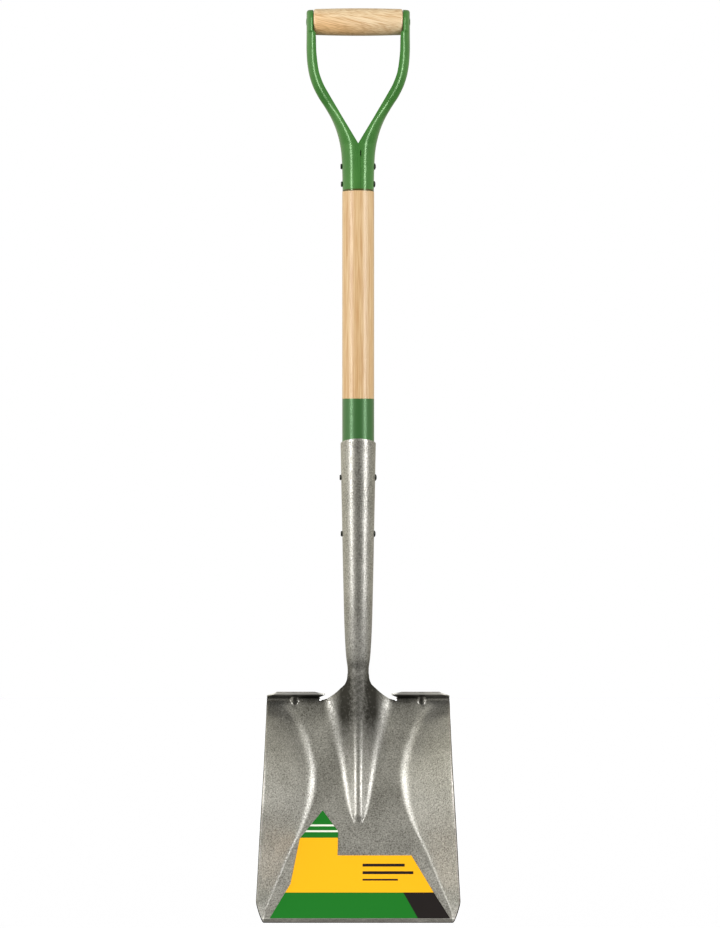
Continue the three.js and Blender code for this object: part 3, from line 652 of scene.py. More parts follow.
yoke = pressed_grid([arm_row(level) for level in arm_levels()])
use_modifier(yoke, "MIRROR", use_axis=(True, False, False), merge_threshold=WELD_DISTANCE)
yoke = welded(yoke)
use_modifier(yoke, "SOLIDIFY", thickness=YOKE_WALL, offset=-1, use_even_offset=True)
seam_top = -HAND_OPENING - SEAM_BELOW_CROTCH
cut_away(yoke, cutting_block(SEAM_GAP, YOKE_RIM_LEVEL - YOKE_WALL, seam_top))
cut_away(yoke, cutting_block(SLOT_WIDTH, seam_top - SLOT_HEIGHT, seam_top))
across_it = (0, pi / 2, 0)
cut_away(yoke, drill(ROD_RADIUS + FIT, 4 * YOKE_HALF_WIDTH, (0, 0, GRIP_LEVEL), across_it))
for side in (-1, 1):
    seat = (side * (ROD_SEAT - FIT + CUT_DEPTH / 2), 0, GRIP_LEVEL)
    cut_away(yoke, drill(ROD_HEAD_RADIUS + FIT, CUT_DEPTH, seat, across_it))
round_edges(yoke, PAINTED_EDGE_ROUNDING, 3)
hand_over(yoke, "yoke_formed", "yoke_paint", "yoke")

# %% [markdown]
# ## Turned pieces
# Shaft, grip, rod and rivets could be spun from a drawn outline. Here each one is drawn up from a disc,
# ring by ring: extrude the end face, then scale it to the next diameter. So each ring is exactly where it
# is asked for.

# %% Draw up a round bar
def turned(profile, segments):
    """A round bar from pairs of a radius and a level, lowest first."""
    select_only()
    radius, level = profile[0]
    bpy.ops.mesh.primitive_circle_add(
        vertices=segments, radius=radius, fill_type="NGON", location=(0, 0, level)
    )
    bar = bpy.context.object
    bpy.ops.object.transform_apply()
    bpy.ops.object.mode_set(mode="EDIT")
    for next_radius, next_level in profile[1:]:
        bpy.ops.mesh.extrude_region_move(TRANSFORM_OT_translate={"value": (0, 0, next_level - level)})
        grow = next_radius / radius
        bpy.ops.transform.resize(value=(grow, grow, 1), center_override=(0, 0, next_level))
        radius = next_radius
        level = next_level
    bpy.ops.mesh.select_all(action="SELECT")
    bpy.ops.mesh.normals_make_consistent(inside=False)
    bpy.ops.object.mode_set(mode="OBJECT")
    return bar


def with_lower_half(upper):
    """A whole profile from its upper half."""
    return [(radius, -level) for radius, level in reversed(upper) if level > 0] + upper


def lay_across(bar, level):
    """Turns an upright bar so that its axis lies along X, and lifts it to a level."""
    bar.rotation_euler = (0, pi / 2, 0)
    bar.location = (0, 0, level)
    select_only(bar)
    bpy.ops.object.transform_apply()
    return bar


# %% [markdown]
# The shaft is 38 mm ash. Its lower end is tapered to fit the socket, and its upper end is turned down so
# that the yoke lies flush with the wood.

# %% Turn the shaft
SHAFT_RADIUS = 0.019
SHAFT_IN_SOCKET = 0.222
TENON_RADIUS = 0.0162
TENON_LENGTH = 0.05
TENON_CHAMFER = 0.002
TIP_RADIUS = 0.013
TIP_CHAMFER = 0.0035
TAPER_SHARES = (0.85, 0.7, 0.5, 0.3, 0.12)
ROUND_SEGMENTS = 96


def shaft_profile():
    tip_level = SOCKET_RIM_LEVEL - SHAFT_IN_SOCKET
    profile = [(TIP_RADIUS - TIP_CHAMFER, tip_level), (TIP_RADIUS, tip_level + TIP_CHAMFER)]
    for share in TAPER_SHARES:
        level = SOCKET_RIM_LEVEL - SHAFT_IN_SOCKET * share
        inside = socket_radius(level) - STEEL_THICKNESS - 2 * FIT
        profile.append((min(SHAFT_RADIUS, inside), level))
    shoulder = YOKE_RIM_LEVEL - FIT
    tenon_top = YOKE_RIM_LEVEL + TENON_LENGTH
    profile += [(SHAFT_RADIUS, SOCKET_RIM_LEVEL), (SHAFT_RADIUS, shoulder), (TENON_RADIUS, shoulder)]
    profile += [(TENON_RADIUS, tenon_top - TENON_CHAMFER), (TENON_RADIUS - TENON_CHAMFER, tenon_top)]
    return profile


shaft = turned(shaft_profile(), ROUND_SEGMENTS)
hand_over(shaft, "shaft_turned", "shaft_wood", "shaft")

# %% [markdown]
# The grip is a short barrel of the same wood with softly rounded ends. The rod passes through its bore,
# which is opened by insetting both end faces and bridging them.

# %% Turn the grip and open its bore
GRIP_HALF_LENGTH = 0.0532
GRIP_RADIUS = 0.0162
GRIP_END_RADIUS = 0.0154
GRIP_END_ROUND = 0.003
BORE_RADIUS = 0.0033
GRIP_RINGS = 9
GRIP_ROUND_RINGS = 5


def grip_profile():
    upper = [(GRIP_RADIUS, 0)]
    for share in steps_to(1, GRIP_RINGS):
        radius = mix(GRIP_END_RADIUS, GRIP_RADIUS, cos(share * pi / 2))
        upper.append((radius, share * (GRIP_HALF_LENGTH - GRIP_END_ROUND)))
    for angle in steps_to(pi / 2, GRIP_ROUND_RINGS):
        radius = GRIP_END_RADIUS - GRIP_END_ROUND * (1 - cos(angle))
        upper.append((radius, GRIP_HALF_LENGTH - GRIP_END_ROUND * (1 - sin(angle))))
    return with_lower_half(upper)


def open_bore(bar, radius):
    """Insets both end faces of an upright bar and bridges them into a bore."""
    select_only(bar)
    bpy.ops.object.mode_set(mode="EDIT")
    bpy.ops.mesh.select_mode(type="FACE")
    bpy.ops.mesh.select_all(action="DESELECT")
    bpy.ops.object.mode_set(mode="OBJECT")
    ends = sorted(bar.data.polygons, key=lambda face: len(face.vertices))[-2:]
    end_radius = max(hypot(*bar.data.vertices[k].co.xy) for k in ends[0].vertices)
    for end in ends:
        end.select = True
    bpy.ops.object.mode_set(mode="EDIT")
    bpy.ops.mesh.inset(thickness=end_radius - radius)
    bpy.ops.mesh.bridge_edge_loops()
    bpy.ops.mesh.select_mode(type="VERT")
    bpy.ops.object.mode_set(mode="OBJECT")


grip = turned(grip_profile(), ROUND_SEGMENTS)
open_bore(grip, BORE_RADIUS)
lay_across(grip, GRIP_LEVEL)
hand_over(grip, "grip_turned", "grip_wood", "grip")

# %% [markdown]
# The rod and the rivets have small dark heads. A rivet is domed on one side, and on the other its hollow
# tail is rolled over, which leaves a small ring.

# %% Turn the rod and the rivets
ROD_HEAD_HEIGHT = 0.0009
RIVET_RADIUS = 0.0025
RIVET_HEAD_RADIUS = 0.004
RIVET_HEAD_HEIGHT = 0.002
RIVET_TAIL_RADIUS = 0.0033
RIVET_TAIL_HEIGHT = 0.0015
RIVET_HOLLOW_RADIUS = 0.0014
RIVET_HOLLOW_DEPTH = 0.005
RIVET_SEGMENTS = 32
DOME_RINGS = 6
YOKE_RIVET_DROPS = (0.026, 0.047)
SOCKET_RIVET_DROPS = (0.04, 0.107)


def dome(seat, radius, height):
    """Rings of a round head, from its seat outwards, almost to its crown."""
    rings = []
    for k in range(DOME_RINGS):
        angle = pi / 2 * k / DOME_RINGS
        rings.append((radius * cos(angle), seat + height * sin(angle)))
    return rings


def rod_profile():
    head = dome(ROD_SEAT, ROD_HEAD_RADIUS, ROD_HEAD_HEIGHT)
    return with_lower_half([(ROD_RADIUS, ROD_SEAT)] + head)


def seat_on(radius, head_radius):
    return sqrt(radius * radius - head_radius * head_radius) + FIT


def rivet_profile(radius):
    """From the bottom of the tail's hollow, round its rolled rim, along the shank and up the dome."""
    tail_seat = seat_on(radius, RIVET_TAIL_RADIUS)
    head_seat = seat_on(radius, RIVET_HEAD_RADIUS)
    tail_end = -tail_seat - RIVET_TAIL_HEIGHT
    profile = [(RIVET_HOLLOW_RADIUS, tail_end + RIVET_HOLLOW_DEPTH), (RIVET_HOLLOW_RADIUS, tail_end)]
    roll = (RIVET_TAIL_RADIUS - RIVET_HOLLOW_RADIUS) / 2
    middle = RIVET_HOLLOW_RADIUS + roll
    for share in steps_to(1, DOME_RINGS):
        rim_level = tail_end + RIVET_TAIL_HEIGHT / 2 * (share - sin(pi * share))
        profile.append((middle - roll * cos(pi * share), rim_level))
    profile += [(RIVET_TAIL_RADIUS, -tail_seat), (RIVET_RADIUS, -tail_seat), (RIVET_RADIUS, head_seat)]
    return profile + dome(head_seat, RIVET_HEAD_RADIUS, RIVET_HEAD_HEIGHT)


grip_rod = lay_across(turned(rod_profile(), RIVET_SEGMENTS), GRIP_LEVEL)
hand_over(grip_rod, "grip_rod_headed", "rod_paint", "grip_rod")
rivets = []
for place, yoke_drop, socket_drop in zip(("upper", "lower"), YOKE_RIVET_DROPS, SOCKET_RIVET_DROPS):
    yoke_level = -HAND_OPENING - yoke_drop
    socket_level = SOCKET_RIM_LEVEL - socket_drop
    for carrier, level, radius in (
        ("yoke", yoke_level, arm_section(yoke_level)[1]),
        ("socket", socket_level, socket_radius(socket_level)),
    ):
        rivet = lay_across(turned(rivet_profile(radius), RIVET_SEGMENTS), level)
        node = f"{carrier}_rivet_{place}"
        rivets.append(hand_over(rivet, f"{node}_set", "rivet_steel", node))

# %% [markdown]
# ## Writing finishes as sums
# A finish is a network of nodes, and most of it is arithmetic on masks and noises. The class Reading wraps
# what a node gives and overloads the operators, so a sum of readings adds its own Math nodes. Every other
# node comes from one method of the class Network.

# %% Readings and networks
class Reading:
    """What one node gives, ready for use in a sum."""

    def __init__(self, network, socket):
        self.network = network
        self.socket = socket

    def __add__(self, other):
        return self.network.sum_of("ADD", self, other)

    def __sub__(self, other):
        return self.network.sum_of("SUBTRACT", self, other)

    def __rsub__(self, other):
        return self.network.sum_of("SUBTRACT", other, self)

    def __mul__(self, other):
        return self.network.sum_of("MULTIPLY", self, other)

    __radd__ = __add__
    __rmul__ = __mul__


class Network:
    """A tree of nodes that are all made by one method."""

    def __init__(self, tree):
        self.tree = tree

    def node(self, kind, inputs=None, output=0, **settings):
        """Adds a node, with its settings first and then the values or links of its sockets."""
        made = self.tree.nodes.new(f"ShaderNode{kind}")
        for name, value in settings.items():
            setattr(made, name, value)
        for name, value in (inputs or {}).items():
            self.feed(made.inputs[name], value)
        return Reading(self, made.outputs[output])

    def feed(self, socket, value):
        if isinstance(value, Reading):
            self.tree.links.new(value.socket, socket)
        else:
            socket.default_value = value

    def sum_of(self, operation, first, second):
        return self.node("Math", {0: first, 1: second}, operation=operation)

    def vector(self, operation, first, second, output=0):
        return self.node("VectorMath", {0: first, 1: second}, output, operation=operation)

    def part(self, reading, axis):
        """The part of a vector along X, Y or Z."""
        return self.node("SeparateXYZ", {0: reading}, axis)


# %% A finish is the network of one material
NOISE_MIDDLE = 0.5


class Finish(Network):
    """A material with one Principled shader."""

    def __init__(self, name):
        self.material = bpy.data.materials.new(name)
        self.material.use_nodes = True
        super().__init__(self.material.node_tree)
        self.shader = self.tree.nodes["Principled BSDF"]
        self.place = self.node("TexCoord", output="Object")

    def held(self, value):
        """A reading kept between 0 and 1."""
        return self.node("Clamp", {"Value": value})

    def past(self, value, edge, softness):
        """A mask that turns from 0 to 1 where a reading passes an edge."""
        return self.held((value - edge) * (1 / softness) + 0.5)

    def within(self, value, start, end, softness):
        """A mask that is 1 between two edges."""
        return self.past(value, start, softness) - self.past(value, end, softness)

    def beyond(self, squared, half, softness):
        """A mask of what lies more than half away, from the square of that distance."""
        return self.past(squared, half ** 2, half ** 2 * softness)

    def grained(self, level, *parts):
        """A level that noises raise and lower, each by its own weight, kept between 0 and 1."""
        for noise, weight in parts:
            level = (noise - NOISE_MIDDLE) * weight + level
        return self.held(level)

    def blend(self, share, first, second):
        """A colour between two others."""
        inputs = {0: share, 6: first, 7: second}
        return self.node("Mix", inputs, output=2, data_type="RGBA", clamp_factor=True)

    def noise(self, factors, detail=2.0, roughness=0.5):
        """A cloudy noise with so many patches to the metre along X, Y and Z."""
        stretched = self.vector("MULTIPLY", self.place, factors)
        inputs = {"Vector": stretched, "Scale": 1.0, "Detail": detail, "Roughness": roughness}
        return self.node("TexNoise", inputs)

    def axis(self, name):
        """How far along X, Y or Z the place is, in metres."""
        return self.part(self.place, name)

    def bump(self, height, strength, distance):
        inputs = {"Strength": strength, "Distance": distance, "Height": height}
        self.feed(self.shader.inputs["Normal"], self.node("Bump", inputs))

    def set(self, **values):
        for name, value in values.items():
            self.feed(self.shader.inputs[name.replace("_", " ").title().replace("Ior", "IOR")], value)

    def give(self, *pieces):
        for piece in pieces:
            piece.data.materials.clear()
            piece.data.materials.append(self.material)
        print(self.material.name, "has", len(self.tree.nodes), "nodes")


# %% [markdown]
# ## Speckled steel
# The blade is bare heat-treated steel: grey from a step away, and a dense speckle of light and dark grains
# close up. Colour, roughness and bump share their noises, so each grain also tilts and sparkles near a
# highlight.

# %% Grains of the steel
STEEL_DARK = (0.168, 0.162, 0.146, 1)
STEEL_LIGHT = (0.69, 0.68, 0.65, 1)
GRAINS_PER_METRE = 620
GRIT_PER_METRE = 1700
CLOUDS_PER_METRE = 22
GRAIN_DEPTH = 0.0004

steel = Finish("blade_steel")
grains = steel.noise((GRAINS_PER_METRE,) * 3, detail=2.5, roughness=0.6)
grit = steel.noise((GRIT_PER_METRE,) * 3, detail=1.0)
clouds = steel.noise((CLOUDS_PER_METRE,) * 3, detail=3.0)
speckle = steel.grained(0.55, (grains, 2.2), (grit, 1.0), (clouds, 0.6))
steel.bump(grains * 0.6 + grit * 0.4, 0.24, GRAIN_DEPTH)

# %% [markdown]
# The neck was forged hot, so a mottled dark scale is left on it; on the flanks of the ridge below the extra
# dark is a painted shade.
# Its masks are bands along the blade and across it, frayed by a noise. The square of the place across
# serves left and right alike. Each edge is a place and the length over which it fades.

# %% Scale on the neck and painted shade on the ridge's flanks
SCALE_TOP = (-0.695, 0.07)
SCALE_DARK_TOP = (-0.752, 0.03)
SCALE_END = (-0.842, 0.07)
SCALE_CROWN_HALF = 0.008
SCALE_FLANK_HALF = 0.029
MOTTLES_PER_METRE = 260

mottle = steel.noise((MOTTLES_PER_METRE,) * 3, detail=3.0, roughness=0.65)
level = steel.axis("Z")
beside = steel.axis("X")
beside = beside * beside
ragged = beside * (mottle + 0.5)
above_end = steel.past(level, *SCALE_END)
off_crown = steel.beyond(ragged, SCALE_CROWN_HALF, 2.4)
on_flank = 1 - steel.beyond(ragged, SCALE_FLANK_HALF, 1.1)
dulled = (1 - steel.past(level, *SCALE_TOP)) * above_end * on_flank
dark_scale_and_shade = (1 - steel.past(level, *SCALE_DARK_TOP)) * above_end * on_flank
# Scale darkens the neck; away from the crown the added dark is a painted shade on the ridge's flanks.
scale = dark_scale_and_shade * (off_crown * 0.31 + 0.54) + dulled * (mottle - 0.27) * 0.75

# %% [markdown]
# Under each fold, in the corner and in the gusset, and on the treads' undersides, which face down, the
# steel is painted darker as painted shade. The treads' lips get a painted highlight.

# %% Painted shade under the folds and painted highlights on the lips
UNDERSIDE_TILT = (-0.72, 0.2)
UNDERSIDE_SHADE_DARKNESS = 0.5
FOLD_SHADE_EDGE = (-0.806, 0.03)
FOLD_SHADE_HALF = 0.066
FOLD_SHADE_DARKNESS = 0.44
CORNER_LEVEL = -0.7935
CORNER_FADE = 0.006
CORNER_SHADE_DARKNESS = 0.25
LIP_EDGE = (-0.784, 0.0008)
LIP_TILT = (0.6, 0.2)
LIP_HIGHLIGHT_BRIGHTNESS = 0.85
GUSSET_SHADE_HALF = 0.003
GUSSET_SHADE_DARKNESS = 0.5

off_ridge = steel.beyond(beside, TREAD_TIP_HALF, 0.3)
on_pan = 1 - steel.beyond(beside, FOLD_SHADE_HALF, 0.4)
facing_up = steel.part(steel.node("NewGeometry", output="Normal"), "Z")
underside = 1 - steel.past(facing_up, *UNDERSIDE_TILT)
# Painted highlight on the treads' lips, where they do not face up; the steel there is also made less
# metallic.
lip_highlight = steel.past(level, *LIP_EDGE) * off_ridge
lip_highlight = lip_highlight * (1 - steel.past(facing_up, *LIP_TILT)) * LIP_HIGHLIGHT_BRIGHTNESS
off_gusset = beside - GUSSET_HALF ** 2
gusset_edge = (2 * GUSSET_HALF * GUSSET_SHADE_HALF) ** 2
in_gusset = 1 - steel.past(off_gusset * off_gusset, gusset_edge, gusset_edge)
in_gusset = in_gusset * steel.past(level, CORNER_LEVEL - CORNER_FADE, CORNER_FADE)
# Painted shade: under the fold on the pan, in the corner above the fold, on the downward undersides and in
# the gusset.
painted_shade = steel.past(level, *FOLD_SHADE_EDGE) * on_pan * FOLD_SHADE_DARKNESS
painted_shade = painted_shade + steel.past(level, CORNER_LEVEL, CORNER_FADE) * CORNER_SHADE_DARKNESS
painted_shade = painted_shade + underside * UNDERSIDE_SHADE_DARKNESS + in_gusset * GUSSET_SHADE_DARKNESS

# %% [markdown]
# The mouth's cut edge is dark, with a painted highlight, a bright line, above it. The steel near the mouth
# is a little rougher, and the pan there is painted a little darker as painted shade.

# %% The mouth, and all of it together
STEEL_HIGHLIGHT = (0.82, 0.81, 0.78, 1)
STEEL_SCALE_AND_SHADE = (0.045, 0.043, 0.037, 1)
MOUTH_LINE = -1.0333
MOUTH_LINE_WIDTH = 0.0014
MOUTH_LINE_FADE = 0.0005
MOUTH_HIGHLIGHT_BRIGHTNESS = 0.6
MOUTH_EDGE_DARKNESS = 0.4
NEAR_MOUTH_EDGE = (-0.925, 0.09)
NEAR_MOUTH_SHADE_DARKNESS = 0.14
SCOURED_ROUGHNESS = 0.16
SCALE_ROUGHNESS = 0.24
STEEL_ROUGHNESS = 0.38

near_mouth = 1 - steel.past(level, *NEAR_MOUTH_EDGE)
mouth_edge = 1 - steel.past(level, MOUTH_LINE, MOUTH_LINE_FADE)
# A painted highlight: a bright line just above the mouth's edge.
mouth_highlight = steel.within(level, MOUTH_LINE, MOUTH_LINE + MOUTH_LINE_WIDTH, MOUTH_LINE_FADE)
scale = scale + mouth_edge * MOUTH_EDGE_DARKNESS + near_mouth * on_pan * NEAR_MOUTH_SHADE_DARKNESS
scale = steel.held(scale + off_ridge * painted_shade)
# One dark colour serves the neck's scale, the dark cut edge and every painted shade of the blade.
bare = steel.blend(scale, steel.blend(speckle, STEEL_DARK, STEEL_LIGHT), STEEL_SCALE_AND_SHADE)
bare = steel.blend(mouth_highlight * MOUTH_HIGHLIGHT_BRIGHTNESS, bare, STEEL_HIGHLIGHT)
dullness = dulled * SCALE_ROUGHNESS + near_mouth * SCOURED_ROUGHNESS + STEEL_ROUGHNESS
steel.set(
    base_color=steel.blend(lip_highlight, bare, STEEL_HIGHLIGHT),
    metallic=0.92 - lip_highlight * 0.6,
    roughness=steel.grained(dullness, (grit, 0.24), (clouds, 0.12)),
)
steel.give(blade)

# %% [markdown]
# ## Lacquered ash
# Ash is pale, with a darker line where each year's growth ends. The lines are rings round the tree's heart,
# so the distance from a far axis is turned into bands. Fine long noise adds the pores.

# %% A recipe for ash
WOOD_PALE = (0.67, 0.463, 0.242, 1)
WOOD_DARK = (0.50, 0.275, 0.105, 1)
RINGS_PER_METRE = 260
FIBRES_ALONG = 26
FIBRES_ACROSS = 900
SHADES_ALONG = 2.5
SHADES_ACROSS = 60
PORE_DEPTH = 0.0001
RING_WAVE = 2.2
WOOD_ROUGHNESS = 0.45
COAT_ROUGHNESS = 0.34


def ash(name, heart, along_axis, slant=0.0):
    """Ash with its grain along one axis, or turned from it; heart is a place on the tree's middle."""
    wood = Finish(name)
    wood.place = wood.node("Mapping", {"Vector": wood.place, "Rotation": (0, -slant, 0)})

    def factors(across, lengthwise):
        axes = [across] * 3
        axes[along_axis] = lengthwise
        return axes

    fibres = wood.noise(factors(FIBRES_ACROSS, FIBRES_ALONG))
    shades = wood.noise(factors(SHADES_ACROSS, SHADES_ALONG), detail=3.0)
    in_plane = wood.vector("MULTIPLY", wood.place, factors(1.0, 0.0))
    rings = wood.vector("DISTANCE", in_plane, heart, "Value") * RINGS_PER_METRE + shades * RING_WAVE
    ring = wood.node("Math", {0: rings}, operation="FRACT")
    darkness = wood.grained(ring * ring * ring * 0.5 + 0.31, (fibres, 3.2), (shades, 1.3))
    wood.bump(fibres, 0.12, PORE_DEPTH)
    return wood, wood.blend(darkness, WOOD_PALE, WOOD_DARK), fibres


# %% [markdown]
# The shaft's grain runs along it. The band above the socket is enamel with a little metal in it, which
# gives its highlights their green.

# %% The shaft's wood and its band
BAND_GREEN = (0.038, 0.147, 0.034, 1)
TENON_GREEN = (0.03, 0.115, 0.022, 1)
BAND_TOP = -0.4322
BAND_WAVE = 0.0006
BAND_SOFTNESS = 0.0003

wood, colour, fibres = ash("shaft_wood", (0.03, 0.045, 0), 2)
waviness = wood.noise((GRAINS_PER_METRE, GRAINS_PER_METRE, CLOUDS_PER_METRE), detail=1.0)
level = wood.axis("Z")
wavy_level = level + (waviness - NOISE_MIDDLE) * BAND_WAVE
painted = 1 - wood.past(wavy_level, BAND_TOP, BAND_SOFTNESS)
in_yoke = wood.past(level, YOKE_RIM_LEVEL, BAND_SOFTNESS)
colour = wood.blend(painted, colour, BAND_GREEN)
wood.set(
    base_color=wood.blend(in_yoke, colour, TENON_GREEN),
    metallic=painted * 0.35,
    roughness=wood.grained(WOOD_ROUGHNESS - painted * 0.1, (fibres, 0.1)),
    coat_weight=1 - painted * 0.4,
    coat_roughness=COAT_ROUGHNESS,
)
wood.give(shaft)

# %% [markdown]
# The grip was cut a little across the grain, so its pattern is turned. Its lower side is painted more tan
# and darker, a painted shade.

# %% The grip's wood
WOOD_SHADED_TAN = (0.95, 0.58, 0.28, 1)
WOOD_CREAM = (0.9, 0.74, 0.52, 1)
GRIP_SLANT = radians(14)

wood, colour, fibres = ash("grip_wood", (0, 0.04, 0.045), 0, GRIP_SLANT)
# Painted shade: the grip's lower side is made more tan and darker.
lower_side_shade = 1 - wood.past(wood.axis("Z"), GRIP_LEVEL - GRIP_RADIUS / 2, GRIP_RADIUS)
tone = wood.blend(lower_side_shade, WOOD_CREAM, WOOD_SHADED_TAN)
wood.set(
    base_color=wood.blend(wood.grained(0.42, (fibres, -1.7)), colour, tone),
    roughness=wood.grained(WOOD_ROUGHNESS, (fibres, 0.1)),
    coat_weight=1.0,
    coat_roughness=COAT_ROUGHNESS,
)
wood.give(grip)

# %% [markdown]
# ## Green paint and dark rivets
# The yoke is dipped in glossy enamel. A faint orange-peel texture softens the edges of its highlights, and
# the paint is a shade deeper where it ran thicker.

# %% Paint and rivets
PAINT_GREEN = (0.053, 0.187, 0.036, 1)
PAINT_DEEP = (0.033, 0.136, 0.025, 1)
PEEL_PER_METRE = 420
PEEL_DEPTH = 0.00008
PAINT_ROUGHNESS = 0.22
RIM_SHADOW_OLIVE = (0.06, 0.055, 0.012, 1)
RIM_EDGE = 0.002
RIVET_DARK = (0.012, 0.016, 0.013, 1)
RIVET_WORN = (0.07, 0.075, 0.07, 1)

paint = Finish("yoke_paint")
peel = paint.noise((PEEL_PER_METRE,) * 3, detail=1.5)
runs = paint.noise((CLOUDS_PER_METRE * 3, CLOUDS_PER_METRE * 3, CLOUDS_PER_METRE), detail=2.0)
# Painted shadow: a dark olive line along the yoke's lower rim, where it meets the wood.
rim_shadow = 1 - paint.past(paint.axis("Z"), YOKE_RIM_LEVEL + RIM_EDGE, RIM_EDGE / 2)
enamel = paint.blend(paint.grained(0.4, (runs, 2.0)), PAINT_GREEN, PAINT_DEEP)
paint.set(
    base_color=paint.blend(rim_shadow, enamel, RIM_SHADOW_OLIVE),
    roughness=paint.grained(PAINT_ROUGHNESS, (runs, 0.05)),
    specular_ior_level=0.8,
    specular_tint=(0.68, 1.0, 0.6, 1),
)
paint.bump(peel, 0.02, PEEL_DEPTH)
paint.give(yoke, grip_rod)

metal = Finish("rivet_steel")
wear = metal.noise((GRAINS_PER_METRE,) * 3, detail=2.0)
metal.set(
    base_color=metal.blend(metal.grained(0.25, (wear, 2.5)), RIVET_DARK, RIVET_WORN),
    metallic=0.55,
    roughness=metal.grained(0.4, (wear, 0.3)),
)
metal.bump(wear, 0.2, GRAIN_DEPTH)
metal.give(*rivets)

# %% [markdown]
# ## The label
# The label is a die-cut film in yellow, green and near black. Plain bands, a slanted block and a few bars
# make a generic design. It needs the place down the blade, a dot product of the position with the blade's
# own downward direction.

# %% Printed film
LABEL_YELLOW = (1.0, 0.48, 0.007, 1)
LABEL_GREEN = (0.008, 0.168, 0.014, 1)
LABEL_BLACK = (0.012, 0.009, 0.009, 1)
LABEL_PALE = (0.86, 0.88, 0.78, 1)
PRINT_SOFTNESS = 0.0004
LOWER_BAND = 0.2342
TAB_END = 0.169
BLOCK_START = 0.052
BLOCK_SLANT = 0.55
BARS = (
    (0.2, 0.0035, 0.005, 0.054, LABEL_BLACK),
    (0.209, 0.0035, 0.005, 0.064, LABEL_BLACK),
    (0.218, 0.0022, 0.005, 0.046, LABEL_BLACK),
    (0.153, 0.0022, -HALF_BLADE, HALF_BLADE, LABEL_PALE),
    (0.16, 0.0022, -HALF_BLADE, HALF_BLADE, LABEL_PALE),
)

film = Finish("label_print")
downward = (0, -sin(BLADE_LIFT), -cos(BLADE_LIFT))
from_fold = film.vector("SUBTRACT", film.place, (0, PAN_SET_BACK, FOLD_LEVEL))
down = film.vector("DOT_PRODUCT", from_fold, downward, "Value")
across = film.axis("X")
in_band = film.past(down, LOWER_BAND, PRINT_SOFTNESS)
in_tab = 1 - film.past(down, TAB_END, PRINT_SOFTNESS)
in_block = in_band * film.past(across - (down - LOWER_BAND) * BLOCK_SLANT, BLOCK_START, PRINT_SOFTNESS)
ink = film.blend(film.held(in_band + in_tab), LABEL_YELLOW, LABEL_GREEN)
ink = film.blend(in_block, ink, LABEL_BLACK)
for top, width, left, right, colour in BARS:
    in_bar = film.within(down, top, top + width, PRINT_SOFTNESS)
    in_bar = in_bar * film.within(across, left, right, PRINT_SOFTNESS)
    ink = film.blend(in_bar, ink, colour)
crinkle = film.noise((CLOUDS_PER_METRE * 2,) * 3, detail=2.0)
film.set(
    base_color=ink,
    roughness=film.grained(0.5, (crinkle, 0.1)),
    specular_ior_level=0.2,
)
film.bump(crinkle, 0.1, GRAIN_DEPTH)
film.give(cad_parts["label"])

# %% [markdown]
# ## Stage, lights and camera
# The shovel hangs in front of plain white, over a floor that only catches shadows. The room that the steel
# mirrors is brighter to the sides and behind than in front, and dark below.

# %% Floor and room
FLOOR_LEVEL = -1.4
FLOOR_SIZE = 14
FLOOR_WHITE = (0.9, 0.9, 0.9, 1)
BACKDROP_WHITE = (1, 1, 1, 1)
ROOM_TINT = (1, 0.965, 0.8, 1)
ROOM_FRONT = 0.13
ROOM_SIDE = 0.55
ROOM_BACK = 0.3
ROOM_LEFT = 0.18
ROOM_ABOVE = 0.11
ROOM_FLOOR = 0.1
HORIZON_LOW = -0.35

select_only()
bpy.ops.mesh.primitive_plane_add(size=FLOOR_SIZE, location=(0, 0, FLOOR_LEVEL))
floor = bpy.context.object
floor.name = "floor"
floor.is_shadow_catcher = True
floor.visible_glossy = False
floor.visible_diffuse = False
floor_finish = Finish("floor_white")
floor_finish.set(base_color=FLOOR_WHITE, roughness=0.8)
floor_finish.give(floor)

world = bpy.data.worlds.new("studio")
bpy.context.scene.world = world
world.use_nodes = True
studio = Network(world.node_tree)
direction = studio.node("TexCoord", output="Generated")
rightwards, backwards, upwards = [studio.part(direction, axis) for axis in "XYZ"]
sideways = studio.sum_of("MAXIMUM", rightwards, 0 - rightwards)
behind = studio.sum_of("MAXIMUM", backwards, 0.0)
heights = {"Value": upwards, "From Min": HORIZON_LOW, "From Max": 0.0, "To Min": ROOM_FLOOR, "To Max": 1.0}
above_floor = studio.node("MapRange", heights, interpolation_type="SMOOTHSTEP")
brightness = sideways * ROOM_SIDE + ROOM_FRONT - rightwards * ROOM_LEFT + upwards * ROOM_ABOVE
brightness = brightness * above_floor + behind * ROOM_BACK
room = studio.node("Background", {"Color": ROOM_TINT, "Strength": brightness})
backdrop = studio.node("Background", {"Color": BACKDROP_WHITE})
from_camera = studio.node("LightPath", output="Is Camera Ray")
seen = studio.node("MixShader", {0: from_camera, 1: room, 2: backdrop})
studio.feed(studio.tree.nodes["World Output"].inputs["Surface"], seen)
print("the room has", len(studio.tree.nodes), "nodes")

# %% [markdown]
# Every round piece shows two bright lines at about 0.42 of its radius, as a tall narrow lamp gives when it
# stands 50 degrees to the side of the camera. So there are two tall strips. Three wide fill lights lift
# wood, paint and print. They are hidden from reflections, which leaves the steel its dark front.

# %% Strip lights and fill lights
EYE_LEVEL = -0.5097
STRIP_ANGLE = radians(50)
STRIP_DISTANCE = 2.5
STRIP_WIDTH = 0.32
STRIP_HEIGHT = 2.05
STRIP_LEVEL = 0.225
STRIP_POWER = 31
FILL_DISTANCE = 3.4
FILL_LEVEL = -0.3
FILL_WIDTH = 3
FILL_HEIGHT = 2
FILL_POWER = 31
SIDE_FILL_ANGLE = radians(75)
SIDE_FILL_LEVEL = -0.2
SIDE_FILL_POWER = 43


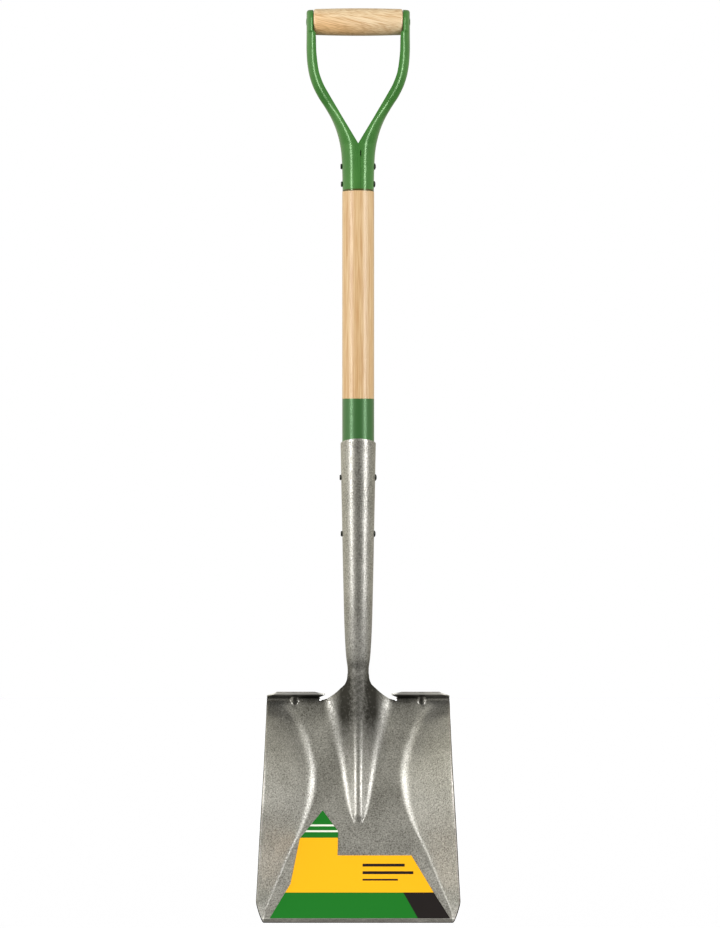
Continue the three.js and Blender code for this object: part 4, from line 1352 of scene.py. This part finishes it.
def area_light(name, place, aim, width, height, power):
    light = bpy.data.lights.new(name, "AREA")
    light.shape = "RECTANGLE"
    light.size = width
    light.size_y = height
    light.energy = power
    lamp = bpy.data.objects.new(name, light)
    bpy.context.scene.collection.objects.link(lamp)
    lamp.location = place
    lamp.rotation_euler = (Vector(aim) - Vector(place)).to_track_quat("-Z", "Y").to_euler()
    print(name, "gives", power, "watts")
    return lamp


def around(angle, distance, level):
    """A place round the shovel, at an angle from the camera's side."""
    return (distance * sin(angle), -distance * cos(angle), level)


for name, side in (("left", -1), ("right", 1)):
    strip = around(side * STRIP_ANGLE, STRIP_DISTANCE, STRIP_LEVEL)
    area_light(f"strip_{name}", strip, (0, 0, STRIP_LEVEL), STRIP_WIDTH, STRIP_HEIGHT, STRIP_POWER)
for name, angle, level, power in (
    ("front", 0, FILL_LEVEL, FILL_POWER),
    ("left", -SIDE_FILL_ANGLE, SIDE_FILL_LEVEL, SIDE_FILL_POWER),
    ("right", SIDE_FILL_ANGLE, SIDE_FILL_LEVEL, SIDE_FILL_POWER),
):
    place = around(angle, FILL_DISTANCE, level)
    fill = area_light(f"fill_{name}", place, (0, 0, EYE_LEVEL), FILL_WIDTH, FILL_HEIGHT, power)
    fill.visible_glossy = False

# %% [markdown]
# The camera stands 3.2 m in front of the shovel's middle. One pixel of the photograph is 1.19 mm at the
# shaft, which fixes the focal length.

# %% Camera
CAMERA_DISTANCE = 3.2
PHOTO_WIDTH = 720
PHOTO_HEIGHT = 928
PIXEL = 0.00119
MIDDLE_PIXEL = 358.2
SENSOR_HEIGHT = 24

camera_data = bpy.data.cameras.new("camera")
camera_data.sensor_fit = "VERTICAL"
camera_data.sensor_height = SENSOR_HEIGHT
camera_data.lens = SENSOR_HEIGHT * CAMERA_DISTANCE / (PHOTO_HEIGHT * PIXEL)
camera_data.shift_x = (PHOTO_WIDTH / 2 - MIDDLE_PIXEL) / PHOTO_HEIGHT
print("the lens is", round(camera_data.lens, 1), "mm long")
camera = bpy.data.objects.new("camera", camera_data)
camera.location = (0, -CAMERA_DISTANCE, EYE_LEVEL)
camera.rotation_euler = (pi / 2, 0, 0)
bpy.context.scene.collection.objects.link(camera)
bpy.context.scene.camera = camera
bpy.context.scene.view_settings.view_transform = "Standard"
